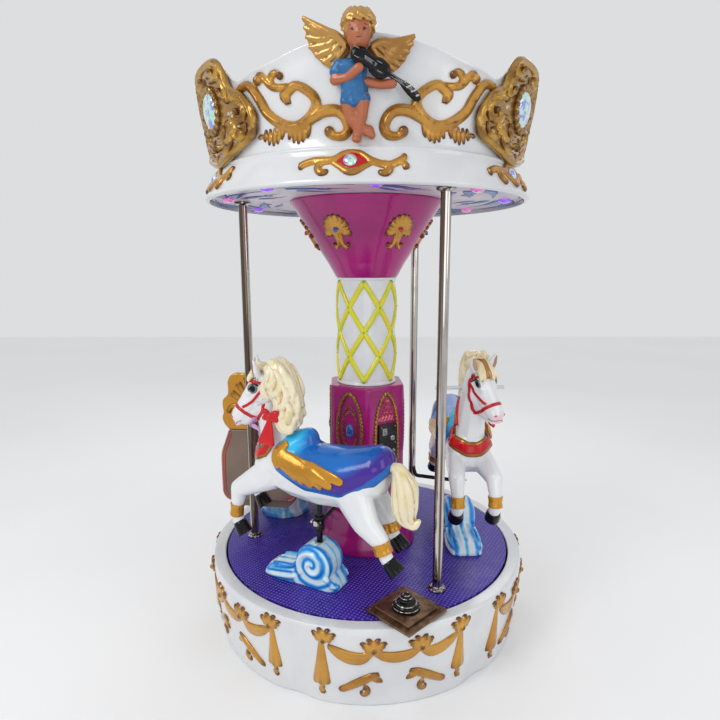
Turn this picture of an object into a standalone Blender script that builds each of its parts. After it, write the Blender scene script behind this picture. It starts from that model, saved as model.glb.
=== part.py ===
"""A small fairground carousel: a fixed lobed base, and a turntable that carries the deck, the
centre column, three poles, the crowned canopy, two galloping horses on lifting rods and a carriage.

Metres, +Z up. The origin is on the ground at the axis the carousel turns about. The front is -Y,
and azimuths are degrees from the front towards +X.
"""

import math

import bmesh
import bpy
from mathutils import Matrix, Vector

GAP = 0.0003
FACETS = 60
MERGE_DISTANCE = 0.00005

BASE_RADIUS = 0.648
BASE_FOOT_RADIUS = 0.620
BASE_HEIGHT = 0.300
RIM_INNER_RADIUS = 0.5965
SHELL_WALL = 0.007
FLANGE_INNER_RADIUS = 0.560
FLANGE_HEIGHT = 0.012
LOBES = 6
LOBE_CENTRE = 8.2
GROOVE_DEPTH = 0.012
GROOVE_HALF_WIDTH = 5.0

BEARING_HEIGHT = 0.262
BEARING_RADIUS = 0.055
PIVOT_RADIUS = 0.020
PIVOT_TOP = 0.290
BEAM_WIDTH = 0.050
BEAM_HEIGHT = 0.040

DECK_RADIUS = 0.590
DECK_THICKNESS = 0.012
DECK_BOSS_RADIUS = 0.200
DECK_TOP = BASE_HEIGHT
ON_DECK = DECK_TOP + GAP

FOOT_RADIUS = 0.207
FOOT_TOP = 0.460
CASING_APOTHEM = 0.147
CASING_TOP = 0.985
CASING_TURN = 3.0
TRUNK_RADIUS = 0.116
TRUNK_TOP = 1.410
HEAD_TOP_RADIUS = 0.298
CEILING_BOTTOM = 1.702
CEILING_THICKNESS = 0.012
CEILING_RADIUS = 0.5957

COIN_DOOR_WIDTH = 0.086
COIN_DOOR_DEPTH = 0.012
COIN_DOOR_BOTTOM = 0.665
COIN_DOOR_TOP = 0.835

POLE_COUNT = 3
POLE_RING_RADIUS = 0.486
POLE_RADIUS = 0.0175
POLE_FLANGE_RADIUS = 0.032
POLE_FLANGE_HEIGHT = 0.010
FIRST_POLE = 31.7

CROWN_WALL = 0.008
CROWN_PANELS = 6
CROWN_FOOT = 1.687
BAND_BOTTOM = 1.695
BAND_RADIUS = 0.6145
WAIST = 1.795
WAIST_RADIUS = 0.558
CROWN_TOP = 2.110
CROWN_TOP_RADIUS = 0.606
CREST_DEPTH = 0.016
# The crown's crest: degrees from the middle of a winged panel, and height
CREST = (
    (0, 2.090), (10, 2.080), (20, 2.060), (25, 2.045), (31, 2.034), (37, 2.028),
    (42, 2.008), (46, 2.042), (51, 2.084), (60, 2.098),
)

PLATE_AZIMUTH = 13.5
PLATE_RING_RADIUS = 0.571
PLATE_SIDE = 0.195
PLATE_UPPER_SIDE = 0.150
PLATE_TIER = 0.009
PLATE_LIFT = 0.0065

HORSE_RING_RADIUS = 0.400
LIFT_LOWEST = -0.030
ROD_RADIUS = 0.011
ROD_CLEARANCE = 0.0008
ROD_FOOT = 0.350
ROD_TOP = 0.640
ROD_OFFSET = -0.020
PEDESTAL_TOP = 0.460
PEDESTAL_WIDTH = 0.116
HANDLE_RADIUS = 0.0075
HANDLE_HALF_LENGTH = 0.135
HANDLE_AT = (0.145, 0.985)
HEAD_TURN = 34.0
HEAD_AT = (0.205, 0.018, 1.020)
SIDE = 0.061
FORE_SIDE = 0.070
FORM_CLEARANCE = 0.0008

# Each horse: its azimuth, and whether both its forelegs are tucked
HORSES = ((-28.3, False), (91.7, True))

CARRIAGE_INNER = 0.320
CARRIAGE_OUTER = 0.612
CARRIAGE_WALL = 0.015
CARRIAGE_FLOOR = 0.400
CARRIAGE_RIM = 0.525
CARRIAGE_FRONT = 200
CARRIAGE_SEAT_FRONT = 237
CARRIAGE_BACK = 265.5
BACK_THICKNESS = 0.030
SEAT_HEIGHT = 0.490
CREST_SEAM = 0.762


def fresh_scene():
    for thing in list(bpy.data.objects):
        bpy.data.objects.remove(thing, do_unlink=True)
    scene = bpy.context.scene
    parts = bpy.data.collections.new("fairground_carousel")
    cutters = bpy.data.collections.new("cutters")
    scene.collection.children.link(parts)
    scene.collection.children.link(cutters)
    return parts, cutters


PARTS, CUTTERS = fresh_scene()


def finish(name, colour, roughness, metallic=0.0):
    made = bpy.data.materials.new(name)
    made.use_nodes = True
    shader = made.node_tree.nodes["Principled BSDF"]
    shader.inputs["Base Color"].default_value = (*colour, 1)
    shader.inputs["Roughness"].default_value = roughness
    shader.inputs["Metallic"].default_value = metallic
    return made


FINISHES = {
    "white": finish("white_gelcoat", (0.86, 0.87, 0.88), 0.18),
    "steel": finish("painted_steel", (0.16, 0.17, 0.18), 0.5, 0.4),
    "deck": finish("purple_deck", (0.13, 0.06, 0.42), 0.25),
    "magenta": finish("magenta_gelcoat", (0.50, 0.06, 0.33), 0.2),
    "black": finish("black_paint", (0.015, 0.015, 0.017), 0.4),
    "chrome": finish("chrome_tube", (0.72, 0.70, 0.68), 0.08, 1.0),
    "ceiling": finish("pale_ceiling", (0.72, 0.68, 0.74), 0.3),
    "gold": finish("gold_paint", (0.70, 0.42, 0.08), 0.3, 0.3),
    "skin": finish("cherub_paint", (0.78, 0.42, 0.24), 0.35),
    "bronze": finish("bronze_plate", (0.24, 0.15, 0.09), 0.4, 0.6),
    "wave": finish("wave_paint", (0.30, 0.62, 0.85), 0.2),
    "saddle": finish("blue_saddle", (0.02, 0.22, 0.72), 0.2),
    "mane": finish("cream_mane", (0.86, 0.78, 0.55), 0.3),
    "cream": finish("cream_gelcoat", (0.66, 0.56, 0.47), 0.25),
}


def on_ring(radius, azimuth, height=0.0):
    turn = math.radians(azimuth)
    return Vector((radius * math.sin(turn), -radius * math.cos(turn), height))


def placed(name, mesh, look, azimuth=0.0, keep=True):
    """A mesh modelled at the front, turned to its azimuth."""
    made = bpy.data.objects.new(name, mesh)
    (PARTS if keep else CUTTERS).objects.link(made)
    made.rotation_euler.z = math.radians(azimuth)
    made.hide_render = not keep
    if not keep:
        made.display_type = "WIRE"
    mesh.materials.clear()
    mesh.materials.append(FINISHES[look])
    return made


def empty(name, location=(0, 0, 0), azimuth=0.0, parent=None):
    made = bpy.data.objects.new(name, None)
    PARTS.objects.link(made)
    made.location = location
    made.rotation_euler.z = math.radians(azimuth)
    made.parent = parent
    return made


def baked(piece):
    """The piece with its modifiers worked into its mesh."""
    graph = bpy.context.evaluated_depsgraph_get()
    look = piece.data.materials[0]
    mesh = bpy.data.meshes.new_from_object(piece.evaluated_get(graph))
    for modifier in list(piece.modifiers):
        piece.modifiers.remove(modifier)
    piece.data = mesh
    mesh.materials.clear()
    mesh.materials.append(look)
    return piece


def smooth(piece, angle=35):
    piece.data.shade_smooth()
    piece.data.set_sharp_from_angle(angle=math.radians(angle))
    return piece


def cut(piece, cutter, operation="DIFFERENCE", solver="EXACT"):
    modifier = piece.modifiers.new(f"{operation.lower()}_{cutter.name}", "BOOLEAN")
    modifier.operation = operation
    modifier.object = cutter
    modifier.solver = solver
    return baked(piece)


def turned(name, profile, look, steps=FACETS, keep=True, closed=False):
    """A profile of (radius, height), down its outer side, turned about Z."""
    outline = bmesh.new()
    points = [outline.verts.new((radius, 0, height)) for radius, height in profile]
    for first, second in zip(points, points[1:] + points[:1] if closed else points[1:]):
        outline.edges.new((first, second))
    mesh = bpy.data.meshes.new(name)
    outline.to_mesh(mesh)
    outline.free()
    made = placed(name, mesh, look, keep=keep)
    screw = made.modifiers.new("turn", "SCREW")
    screw.steps = screw.render_steps = steps
    screw.use_merge_vertices = True
    screw.merge_threshold = MERGE_DISTANCE
    return smooth(baked(made))


def block(name, size, centre, look, keep=True, turn=0.0):
    """A box of its full size about its centre, turned in degrees about its own upright axis."""
    body = bmesh.new()
    place = Matrix.Translation(centre) @ Matrix.Rotation(math.radians(turn), 4, "Z")
    bmesh.ops.create_cube(body, size=1, matrix=place @ Matrix.Diagonal((*size, 1)))
    mesh = bpy.data.meshes.new(name)
    body.to_mesh(mesh)
    body.free()
    return placed(name, mesh, look, keep=keep)


def rod(name, start, end, radius, look, sides=16, keep=True):
    """A straight round bar between two points."""
    start, end = Vector(start), Vector(end)
    run = end - start
    body = bmesh.new()
    place = Matrix.Translation((start + end) / 2) @ run.to_track_quat("Z", "Y").to_matrix().to_4x4()
    bmesh.ops.create_cone(
        body, cap_ends=True, segments=sides, radius1=radius, radius2=radius, depth=run.length, matrix=place
    )
    mesh = bpy.data.meshes.new(name)
    body.to_mesh(mesh)
    body.free()
    return placed(name, mesh, look, keep=keep)


def slab(name, outline, thickness, look, keep=True):
    """An upright outline of (x, z) points, thickness across Y about the middle."""
    body = bmesh.new()
    corners = [body.verts.new((x, -thickness / 2, z)) for x, z in outline]
    face = body.faces.new(corners)
    grown = bmesh.ops.extrude_face_region(body, geom=[face])["geom"]
    bmesh.ops.translate(body, vec=(0, thickness, 0), verts=[v for v in grown if isinstance(v, bmesh.types.BMVert)])
    bmesh.ops.recalc_face_normals(body, faces=body.faces)
    mesh = bpy.data.meshes.new(name)
    body.to_mesh(mesh)
    body.free()
    return placed(name, mesh, look, keep=keep)


def ball_points(centre, radii):
    ball = bmesh.new()
    place = Matrix.Translation(centre) @ Matrix.Diagonal((*radii, 1))
    bmesh.ops.create_icosphere(ball, subdivisions=2, radius=1, matrix=place)
    points = [vertex.co.copy() for vertex in ball.verts]
    ball.free()
    return points


def sculpted(name, limbs, look, voxel, triangles, keep=True, passes=4):
    """One closed form grown over limbs, each a chain of ellipsoids (x, y, z, rx, ry, rz)."""
    body = bmesh.new()
    for limb in limbs:
        for first, second in zip(limb, limb[1:]):
            corners = []
            for knob in (first, second):
                corners += [body.verts.new(p) for p in ball_points(knob[:3], knob[3:])]
            inner = bmesh.ops.convex_hull(body, input=corners)["geom_interior"]
            lost = [v for v in inner if isinstance(v, bmesh.types.BMVert)]
            bmesh.ops.delete(body, geom=lost, context="VERTS")
    mesh = bpy.data.meshes.new(name)
    body.to_mesh(mesh)
    body.free()
    made = placed(name, mesh, look, keep=keep)
    skin = made.modifiers.new("skin", "REMESH")
    skin.mode = "VOXEL"
    skin.voxel_size = voxel
    soften = made.modifiers.new("soften", "SMOOTH")
    soften.iterations = passes
    baked(made)
    made.data.calc_loop_triangles()
    thin = made.modifiers.new("thin", "DECIMATE")
    thin.ratio = min(1.0, triangles / len(made.data.loop_triangles))
    return smooth(baked(made), 60)


def grown(piece):
    """A copy of the piece pushed out a little along its normals, to recess its neighbours with."""
    made = placed(f"{piece.name}_grown", piece.data.copy(), "black", keep=False)
    swell = made.modifiers.new("swell", "DISPLACE")
    swell.strength = FORM_CLEARANCE
    swell.mid_level = 0
    return baked(made)


def base_skirt():
    """The fixed white moulding: a hollow drum in six lobes, with the flat rim round the deck."""
    drum = BASE_HEIGHT - 0.04
    profile = (
        (RIM_INNER_RADIUS, BASE_HEIGHT), (BASE_RADIUS - 0.010, BASE_HEIGHT), (BASE_RADIUS - 0.002, 0.292),
        (BASE_RADIUS, 0.278), (BASE_FOOT_RADIUS, 0.0),
        (FLANGE_INNER_RADIUS, 0.0), (FLANGE_INNER_RADIUS, FLANGE_HEIGHT),
        (BASE_FOOT_RADIUS - SHELL_WALL, FLANGE_HEIGHT), (BASE_RADIUS - SHELL_WALL - 0.002, drum),
        (RIM_INNER_RADIUS, drum),
    )
    made = turned("base_skirt", profile, "white", closed=True)
    for vertex in made.data.vertices:
        radius = math.hypot(vertex.co.x, vertex.co.y)
        azimuth = math.degrees(math.atan2(vertex.co.x, -vertex.co.y))
        spread = 360 / LOBES
        off = (azimuth - LOBE_CENTRE) % spread - spread / 2
        groove = GROOVE_DEPTH * math.exp(-((off / GROOVE_HALF_WIDTH) ** 2))
        fade = min(1.0, max(0.0, (radius - 0.600) / 0.012)) * min(1.0, (BASE_HEIGHT - vertex.co.z) / 0.03)
        vertex.co.xy *= 1 - groove * fade / radius
    return made


def chassis():
    """Hidden steel: a cross on the shell's flange, a pad on the ground and the bearing post."""
    beam_floor = FLANGE_HEIGHT + GAP
    reach = 2 * (BASE_FOOT_RADIUS - SHELL_WALL - GROOVE_DEPTH - 0.004)
    post = turned(
        "chassis",
        (
            (0, PIVOT_TOP), (PIVOT_RADIUS, PIVOT_TOP), (PIVOT_RADIUS, BEARING_HEIGHT),
            (BEARING_RADIUS, BEARING_HEIGHT), (BEARING_RADIUS, 0.008), (0.080, 0.008), (0.080, 0), (0, 0),
        ),
        "steel",
        steps=20,
    )
    middle = beam_floor + BEAM_HEIGHT / 2
    for name, size in (("beam_x", (reach, BEAM_WIDTH, BEAM_HEIGHT)), ("beam_y", (BEAM_WIDTH, reach, BEAM_HEIGHT))):
        beam = block(name, size, (0, 0, middle), "steel", keep=False)
        cut(post, beam, "UNION")
    return smooth(post)


def deck():
    """The purple disc the horses stand on, with the boss that sits on the bearing."""
    under = DECK_TOP - DECK_THICKNESS
    bore = PIVOT_RADIUS + 0.0006
    seat = BEARING_HEIGHT + GAP
    profile = (
        (0, DECK_TOP), (DECK_RADIUS - 0.002, DECK_TOP), (DECK_RADIUS, DECK_TOP - 0.002), (DECK_RADIUS, under),
        (DECK_BOSS_RADIUS, under), (DECK_BOSS_RADIUS, seat), (bore, seat), (bore, PIVOT_TOP + GAP),
        (0, PIVOT_TOP + GAP),
    )
    return turned("deck", profile, "deck", steps=40)


def column():
    """The centre column from the deck up: foot, hexagonal casing, trunk and flared head."""
    foot = (
        (0, FOOT_TOP), (0.172, FOOT_TOP), (0.176, 0.425), (0.188, 0.370), (0.203, 0.330),
        (FOOT_RADIUS, 0.312), (FOOT_RADIUS, ON_DECK), (0, ON_DECK),
    )
    turned("column_foot", foot, "magenta", steps=28)
    casing_bottom = FOOT_TOP + GAP
    casing_height = CASING_TOP - casing_bottom
    body = bmesh.new()
    middle = (0, 0, casing_bottom + casing_height / 2)
    place = Matrix.Translation(middle) @ Matrix.Rotation(math.radians(CASING_TURN), 4, "Z")
    corner = CASING_APOTHEM / math.cos(math.radians(30))
    bmesh.ops.create_cone(
        body, cap_ends=True, segments=6, radius1=corner, radius2=corner, depth=casing_height, matrix=place
    )
    mesh = bpy.data.meshes.new("column_casing")
    body.to_mesh(mesh)
    body.free()
    casing = placed("column_casing", mesh, "magenta")
    edges = casing.modifiers.new("soft_edges", "BEVEL")
    edges.width = 0.008
    edges.segments = 2
    smooth(baked(casing))
    trunk_bottom = CASING_TOP + GAP
    trunk = (
        (0, TRUNK_TOP), (TRUNK_RADIUS + 0.004, TRUNK_TOP), (TRUNK_RADIUS + 0.004, TRUNK_TOP - 0.010),
        (TRUNK_RADIUS, TRUNK_TOP - 0.014), (TRUNK_RADIUS, trunk_bottom), (0, trunk_bottom),
    )
    turned("column_trunk", trunk, "white", steps=28)
    head_top = CEILING_BOTTOM - GAP
    head = (
        (0, head_top), (HEAD_TOP_RADIUS, head_top), (HEAD_TOP_RADIUS, head_top - 0.006), (0.276, 1.664),
        (0.196, 1.532), (0.122, TRUNK_TOP + GAP), (0, TRUNK_TOP + GAP),
    )
    turned("column_head", head, "magenta", steps=36)


def coin_door():
    """The black coin box cover on one face of the casing."""
    height = COIN_DOOR_TOP - COIN_DOOR_BOTTOM
    reach = CASING_APOTHEM + GAP + COIN_DOOR_DEPTH / 2
    centre = (0, -reach, COIN_DOOR_BOTTOM + height / 2)
    made = block("coin_door", (COIN_DOOR_WIDTH, COIN_DOOR_DEPTH, height), centre, "black")
    made.rotation_euler.z = math.radians(CASING_TURN + 30)
    return made


def poles(turntable):
    """Chrome tubes from the deck to the ceiling, with a round flange at each end."""
    bottom = ON_DECK
    top = CEILING_BOTTOM - GAP
    profile = (
        (0, top), (POLE_FLANGE_RADIUS, top), (POLE_FLANGE_RADIUS, top - POLE_FLANGE_HEIGHT),
        (POLE_RADIUS, top - POLE_FLANGE_HEIGHT), (POLE_RADIUS, bottom + POLE_FLANGE_HEIGHT),
        (POLE_FLANGE_RADIUS, bottom + POLE_FLANGE_HEIGHT), (POLE_FLANGE_RADIUS, bottom), (0, bottom),
    )
    first = turned("pole_1", profile, "chrome", steps=16)
    for number in range(POLE_COUNT):
        azimuth = FIRST_POLE + number * 360 / POLE_COUNT
        pole = first if number == 0 else placed(f"pole_{number + 1}", first.data, "chrome")
        pole.location = on_ring(POLE_RING_RADIUS, azimuth)
        pole.parent = turntable


def crest_height(azimuth):
    """The crown's height at an azimuth: the winged panels and the gem panels take turns."""
    half_turn = 120 / 2
    off = abs((azimuth + half_turn) % 120 - half_turn)
    for (low, first), (high, second) in zip(CREST, CREST[1:]):
        if low <= off <= high:
            along = (off - low) / (high - low)
            ease = along * along * (3 - 2 * along)
            return first + (second - first) * ease
    return CREST[-1][1]


def crown_radius(height):
    return WAIST_RADIUS + (CROWN_TOP_RADIUS - WAIST_RADIUS) * (height - WAIST) / (CROWN_TOP - WAIST)


def crown_panels():
    """Six segments of the crown, each with its piece of the band that leans in to the waist."""
    spread = 360 / CROWN_PANELS
    step = 360 / FACETS
    columns = round(spread / step)
    lean = CROWN_WALL * math.sin(math.radians(step / 2))
    margin = math.degrees((GAP / 2 + lean) / WAIST_RADIUS)
    band = ((CROWN_FOOT, BAND_RADIUS - 0.010), (BAND_BOTTOM, BAND_RADIUS), (WAIST, WAIST_RADIUS))
    for number in range(CROWN_PANELS):
        sheet = bmesh.new()
        rows = []
        for column in range(columns + 1):
            local = min(max(column * step - spread / 2, margin - spread / 2), spread / 2 - margin)
            azimuth = number * spread + local
            top = crest_height(azimuth)
            middle = (WAIST + top) / 2
            line = [on_ring(radius, azimuth, height) for height, radius in band]
            line += [on_ring(crown_radius(height), azimuth, height) for height in (middle, top)]
            rows.append([sheet.verts.new(point) for point in line])
        for left, right in zip(rows, rows[1:]):
            for low in range(len(left) - 1):
                sheet.faces.new((left[low], right[low], right[low + 1], left[low + 1]))
        mesh = bpy.data.meshes.new(f"crown_panel_{number + 1}")
        sheet.to_mesh(mesh)
        sheet.free()
        panel = placed(mesh.name, mesh, "white")
        wall = panel.modifiers.new("wall", "SOLIDIFY")
        wall.thickness = CROWN_WALL
        wall.offset = -1
        smooth(baked(panel))


def crown_core():
    """What the crown's outside leaves free, to shape the back of the ornaments on it."""
    above = CROWN_TOP + 0.1
    profile = (
        (0, above), (crown_radius(above) + GAP, above), (WAIST_RADIUS + GAP, WAIST),
        (BAND_RADIUS + GAP, BAND_BOTTOM), (BAND_RADIUS + GAP, 1.60), (0, 1.60),
    )
    return turned("crown_core", profile, "white", keep=False)


def on_crown(x, height, out, *radii):
    """An ellipsoid's centre and radii, its centre so far out from the crown's front."""
    reach = crown_radius(height) + out
    return (x, -math.sqrt(reach * reach - x * x), height, *radii)


def cherubs(core, turntable):
    """The winged child with a violin, in high relief on every other crown panel."""
    limbs = (
        (on_crown(-0.021, 2.072, 0.030, 0.041, 0.042, 0.042), on_crown(-0.021, 2.094, 0.028, 0.044, 0.045, 0.043)),
        (on_crown(-0.028, 2.025, 0.018, 0.024, 0.022, 0.020), on_crown(-0.042, 1.995, 0.014, 0.048, 0.030, 0.026),
         on_crown(-0.032, 1.925, 0.014, 0.042, 0.030, 0.028)),
        (on_crown(-0.010, 1.920, 0.016, 0.026, 0.028, 0.028), on_crown(-0.014, 1.872, 0.014, 0.020, 0.022, 0.022),
         on_crown(-0.026, 1.815, 0.012, 0.016, 0.018, 0.014)),
        (on_crown(-0.050, 1.912, 0.014, 0.024, 0.026, 0.028), on_crown(-0.036, 1.855, 0.016, 0.019, 0.020, 0.020),
         on_crown(0.014, 1.838, 0.010, 0.015, 0.016, 0.022)),
        (on_crown(-0.062, 2.010, 0.002, 0.024, 0.018, 0.024), on_crown(-0.122, 2.045, 0.002, 0.042, 0.018, 0.044),
         on_crown(-0.160, 2.110, 0.000, 0.014, 0.013, 0.018)),
        (on_crown(0.018, 2.015, 0.002, 0.024, 0.018, 0.024), on_crown(0.078, 2.028, 0.002, 0.036, 0.018, 0.034),
         on_crown(0.118, 2.060, 0.000, 0.014, 0.013, 0.014)),
        (on_crown(-0.078, 1.998, 0.016, 0.019, 0.020, 0.020), on_crown(-0.086, 1.966, 0.020, 0.016, 0.017, 0.016),
         on_crown(-0.014, 1.981, 0.042, 0.015, 0.014, 0.014)),
        (on_crown(-0.026, 2.013, 0.046, 0.026, 0.014, 0.020), on_crown(0.046, 1.972, 0.042, 0.022, 0.013, 0.018),
         on_crown(0.128, 1.923, 0.022, 0.012, 0.012, 0.012)),
    )
    first = sculpted("cherub_1", limbs, "skin", voxel=0.007, triangles=360)
    cut(first, core)
    for number in range(3):
        cherub = first if number == 0 else placed(f"cherub_{number + 1}", first.data, "skin")
        cherub.rotation_euler.z = math.radians(number * 120)
        cherub.parent = turntable


def crest_plate():
    """The cartouche as a slab bent round the crown, so that it follows the crown's own facets."""
    half = ((9, 2.092), (13, 2.050), (15, 2.000), (21, 1.965), (24, 1.900), (23, 1.860), (15, 1.832), (8, 1.812))
    outline = [(0, 2.100), *half, (0, 1.800), *[(-arc, height) for arc, height in reversed(half)]]
    body = bmesh.new()
    body.faces.new([body.verts.new((arc, 0, height)) for arc, height in outline])
    step = 360 / FACETS
    for number in range(-3, 4):
        everything = body.verts[:] + body.edges[:] + body.faces[:]
        bmesh.ops.bisect_plane(body, geom=everything, plane_co=(number * step, 0, 0), plane_no=(1, 0, 0))
    bmesh.ops.remove_doubles(body, verts=body.verts[:], dist=MERGE_DISTANCE)
    bmesh.ops.triangulate(body, faces=body.faces[:])
    grown_part = bmesh.ops.extrude_face_region(body, geom=body.faces[:])["geom"]
    bmesh.ops.translate(body, vec=(0, 1, 0), verts=[v for v in grown_part if isinstance(v, bmesh.types.BMVert)])
    for vertex in body.verts:
        arc, layer, height = vertex.co
        facet = (round(arc / step - 0.5) + 0.5) * step
        flat = math.cos(math.radians(step / 2)) / math.cos(math.radians(arc - facet))
        out = CREST_DEPTH if layer > 0.5 else -0.006
        vertex.co = on_ring(crown_radius(height) * flat + out, arc, height)
    bmesh.ops.recalc_face_normals(body, faces=body.faces[:])
    if body.calc_volume(signed=True) < 0:
        bmesh.ops.reverse_faces(body, faces=body.faces[:])
    mesh = bpy.data.meshes.new("crest_plate")
    body.to_mesh(mesh)
    body.free()
    return placed("crest_plate", mesh, "gold", keep=False)


def gem_crests(core, turntable):
    """The gold cartouche and its gem with scroll arms, on the panels between the cherubs."""
    def at(arc, height, out, rx, rz, depth=0.015):
        point = on_ring(crown_radius(height) + out, arc, height)
        return (point.x, point.y, point.z, rx, depth, rz)

    gem = at(0, 1.962, CREST_DEPTH, 0.058, 0.058, 0.018)
    limbs = [(gem, gem)]
    for side in (-1, 1):
        limbs.append((
            at(side * 20, 1.875, 0.003, 0.016, 0.016), at(side * 27, 1.848, 0.003, 0.014, 0.014),
            at(side * 35, 1.868, 0.003, 0.013, 0.014), at(side * 43, 1.872, 0.003, 0.013, 0.013),
            at(side * 50, 1.862, 0.003, 0.013, 0.014), at(side * 51, 1.835, 0.003, 0.012, 0.014),
        ))
        limbs.append((
            at(side * 34, 1.865, 0.003, 0.013, 0.014), at(side * 43, 1.905, 0.003, 0.013, 0.015),
            at(side * 42, 1.960, 0.003, 0.013, 0.014), at(side * 36, 1.992, 0.003, 0.013, 0.012),
            at(side * 29, 1.988, 0.003, 0.013, 0.012),
        ))
        limbs.append((
            at(side * 33, 1.862, 0.003, 0.013, 0.014), at(side * 24, 1.905, 0.003, 0.013, 0.014),
            at(side * 19, 1.955, 0.003, 0.013, 0.014),
        ))
    first = sculpted("gem_crest_1", limbs, "gold", voxel=0.007, triangles=420, passes=2)
    cut(first, crest_plate(), "UNION", solver="MANIFOLD")
    cut(first, core)
    for number in range(3):
        crest = first if number == 0 else placed(f"gem_crest_{number + 1}", first.data, "gold")
        crest.rotation_euler.z = math.radians(60 + number * 120)
        crest.parent = turntable


def control_plate():
    """The two-tier bronze plate on the deck's edge and the round turret on it."""
    centre = on_ring(PLATE_RING_RADIUS, PLATE_AZIMUTH)
    under = ON_DECK + PLATE_LIFT
    spacer_centre = on_ring(PLATE_RING_RADIUS - 0.045, PLATE_AZIMUTH, ON_DECK + PLATE_LIFT / 2 + 0.001)
    made = block("knob_plate", (0.080, 0.080, PLATE_LIFT + 0.002), spacer_centre, "bronze", turn=PLATE_AZIMUTH)
    baked(made)
    tiers = ((PLATE_SIDE, under + PLATE_TIER / 2), (PLATE_UPPER_SIDE, under + 1.5 * PLATE_TIER - 0.001))
    for number, (side, middle) in enumerate(tiers):
        tier = block(
            f"tier_{number + 1}", (side, side, PLATE_TIER), (centre.x, centre.y, middle), "bronze", keep=False, turn=45
        )
        cut(made, tier, "UNION")
    base = under + 2 * PLATE_TIER - 0.001 + GAP
    profile = (
        (0, base + 0.044), (0.016, base + 0.044), (0.020, base + 0.038), (0.020, base + 0.026),
        (0.030, base + 0.022), (0.040, base + 0.010), (0.048, base + 0.006), (0.048, base), (0, base),
    )
    knob = turned("knob_turret", profile, "chrome", steps=14)
    knob.location = centre


def wave_outline():
    """Side view of the wave pedestal: a round curl with a long low tongue in front."""
    curl_centre = (-0.018, 0.384)
    curl_radius = PEDESTAL_TOP - curl_centre[1]
    outline = [(0.196, ON_DECK), (-0.112, ON_DECK), (-0.120, 0.316), (-0.100, 0.334)]
    for angle in range(200, -41, -20):
        turn = math.radians(angle)
        outline.append((curl_centre[0] + curl_radius * math.cos(turn), curl_centre[1] + curl_radius * math.sin(turn)))
    outline += [(0.084, 0.342), (0.140, 0.348), (0.188, 0.328), (0.202, 0.310)]
    return outline


def pedestal_mesh():
    made = slab("pedestal_form", wave_outline(), PEDESTAL_WIDTH, "wave", keep=False)
    edges = made.modifiers.new("soft_edges", "BEVEL")
    edges.width = 0.010
    edges.segments = 1
    edges.limit_method = "ANGLE"
    baked(made)
    socket = rod(
        "socket", (ROD_OFFSET, 0, PEDESTAL_TOP + 0.02), (ROD_OFFSET, 0, ROD_FOOT + LIFT_LOWEST - 0.008),
        ROD_RADIUS + ROD_CLEARANCE, "wave", keep=False,
    )
    return smooth(cut(made, socket)).data


def mirrored(limb, side):
    return tuple((x, side * y, z, rx, ry, rz) for x, y, z, rx, ry, rz in limb)


def horse_limbs():
    """Chains of ellipsoids for a galloping horse: x forward, y to its left, z up. Its left foreleg is apart."""
    barrel = (
        (-0.235, 0, 0.750, 0.070, 0.084, 0.086), (-0.150, 0, 0.724, 0.085, 0.098, 0.104),
        (-0.030, 0, 0.714, 0.085, 0.096, 0.106), (0.080, 0, 0.724, 0.085, 0.094, 0.108),
        (0.165, 0, 0.742, 0.085, 0.086, 0.098),
    )
    neck = (
        (0.135, 0, 0.790, 0.095, 0.066, 0.080), (0.158, 0.005, 0.890, 0.080, 0.056, 0.070),
        (0.178, 0.012, 0.985, 0.066, 0.050, 0.055), (0.190, 0.018, 1.040, 0.055, 0.046, 0.045),
    )
    turn = Matrix.Rotation(math.radians(HEAD_TURN), 4, "Z")

    def on_head(forward, left, up, *radii):
        point = Vector(HEAD_AT) + turn @ Vector((forward, left, up))
        return (point.x, point.y, point.z, *radii)

    skull = (on_head(0.0, 0, 0.0, 0.056, 0.050, 0.058), on_head(0.084, 0, -0.106, 0.037, 0.035, 0.036))
    jaw = (on_head(-0.005, 0, -0.055, 0.044, 0.042, 0.045), on_head(0.066, 0, -0.118, 0.033, 0.032, 0.028))
    limbs = [barrel, neck, skull, jaw]
    for side in (-1, 1):
        limbs.append((
            on_head(-0.015, side * 0.034, 0.040, 0.014, 0.014, 0.016),
            on_head(-0.012, side * 0.052, 0.080, 0.011, 0.011, 0.014),
            on_head(-0.006, side * 0.062, 0.108, 0.006, 0.006, 0.007),
        ))
    hip = (-0.190, 0.048, 0.690, 0.070, 0.046, 0.080)
    pushing = (
        hip, (-0.246, SIDE, 0.604, 0.044, 0.036, 0.042), (-0.298, SIDE, 0.556, 0.030, 0.027, 0.029),
        (-0.312, SIDE, 0.522, 0.025, 0.024, 0.024), (-0.330, SIDE, 0.492, 0.026, 0.025, 0.025),
        (-0.356, SIDE, 0.460, 0.027, 0.026, 0.022),
    )
    trailing = (
        hip, (-0.236, SIDE, 0.620, 0.044, 0.036, 0.042), (-0.272, SIDE, 0.572, 0.030, 0.027, 0.029),
        (-0.284, SIDE, 0.542, 0.025, 0.024, 0.024), (-0.296, SIDE, 0.516, 0.026, 0.025, 0.025),
        (-0.320, SIDE, 0.482, 0.027, 0.026, 0.022),
    )
    return [*limbs, mirrored(FOLDED_FORELEG, -1), pushing, mirrored(trailing, -1)]


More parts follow.
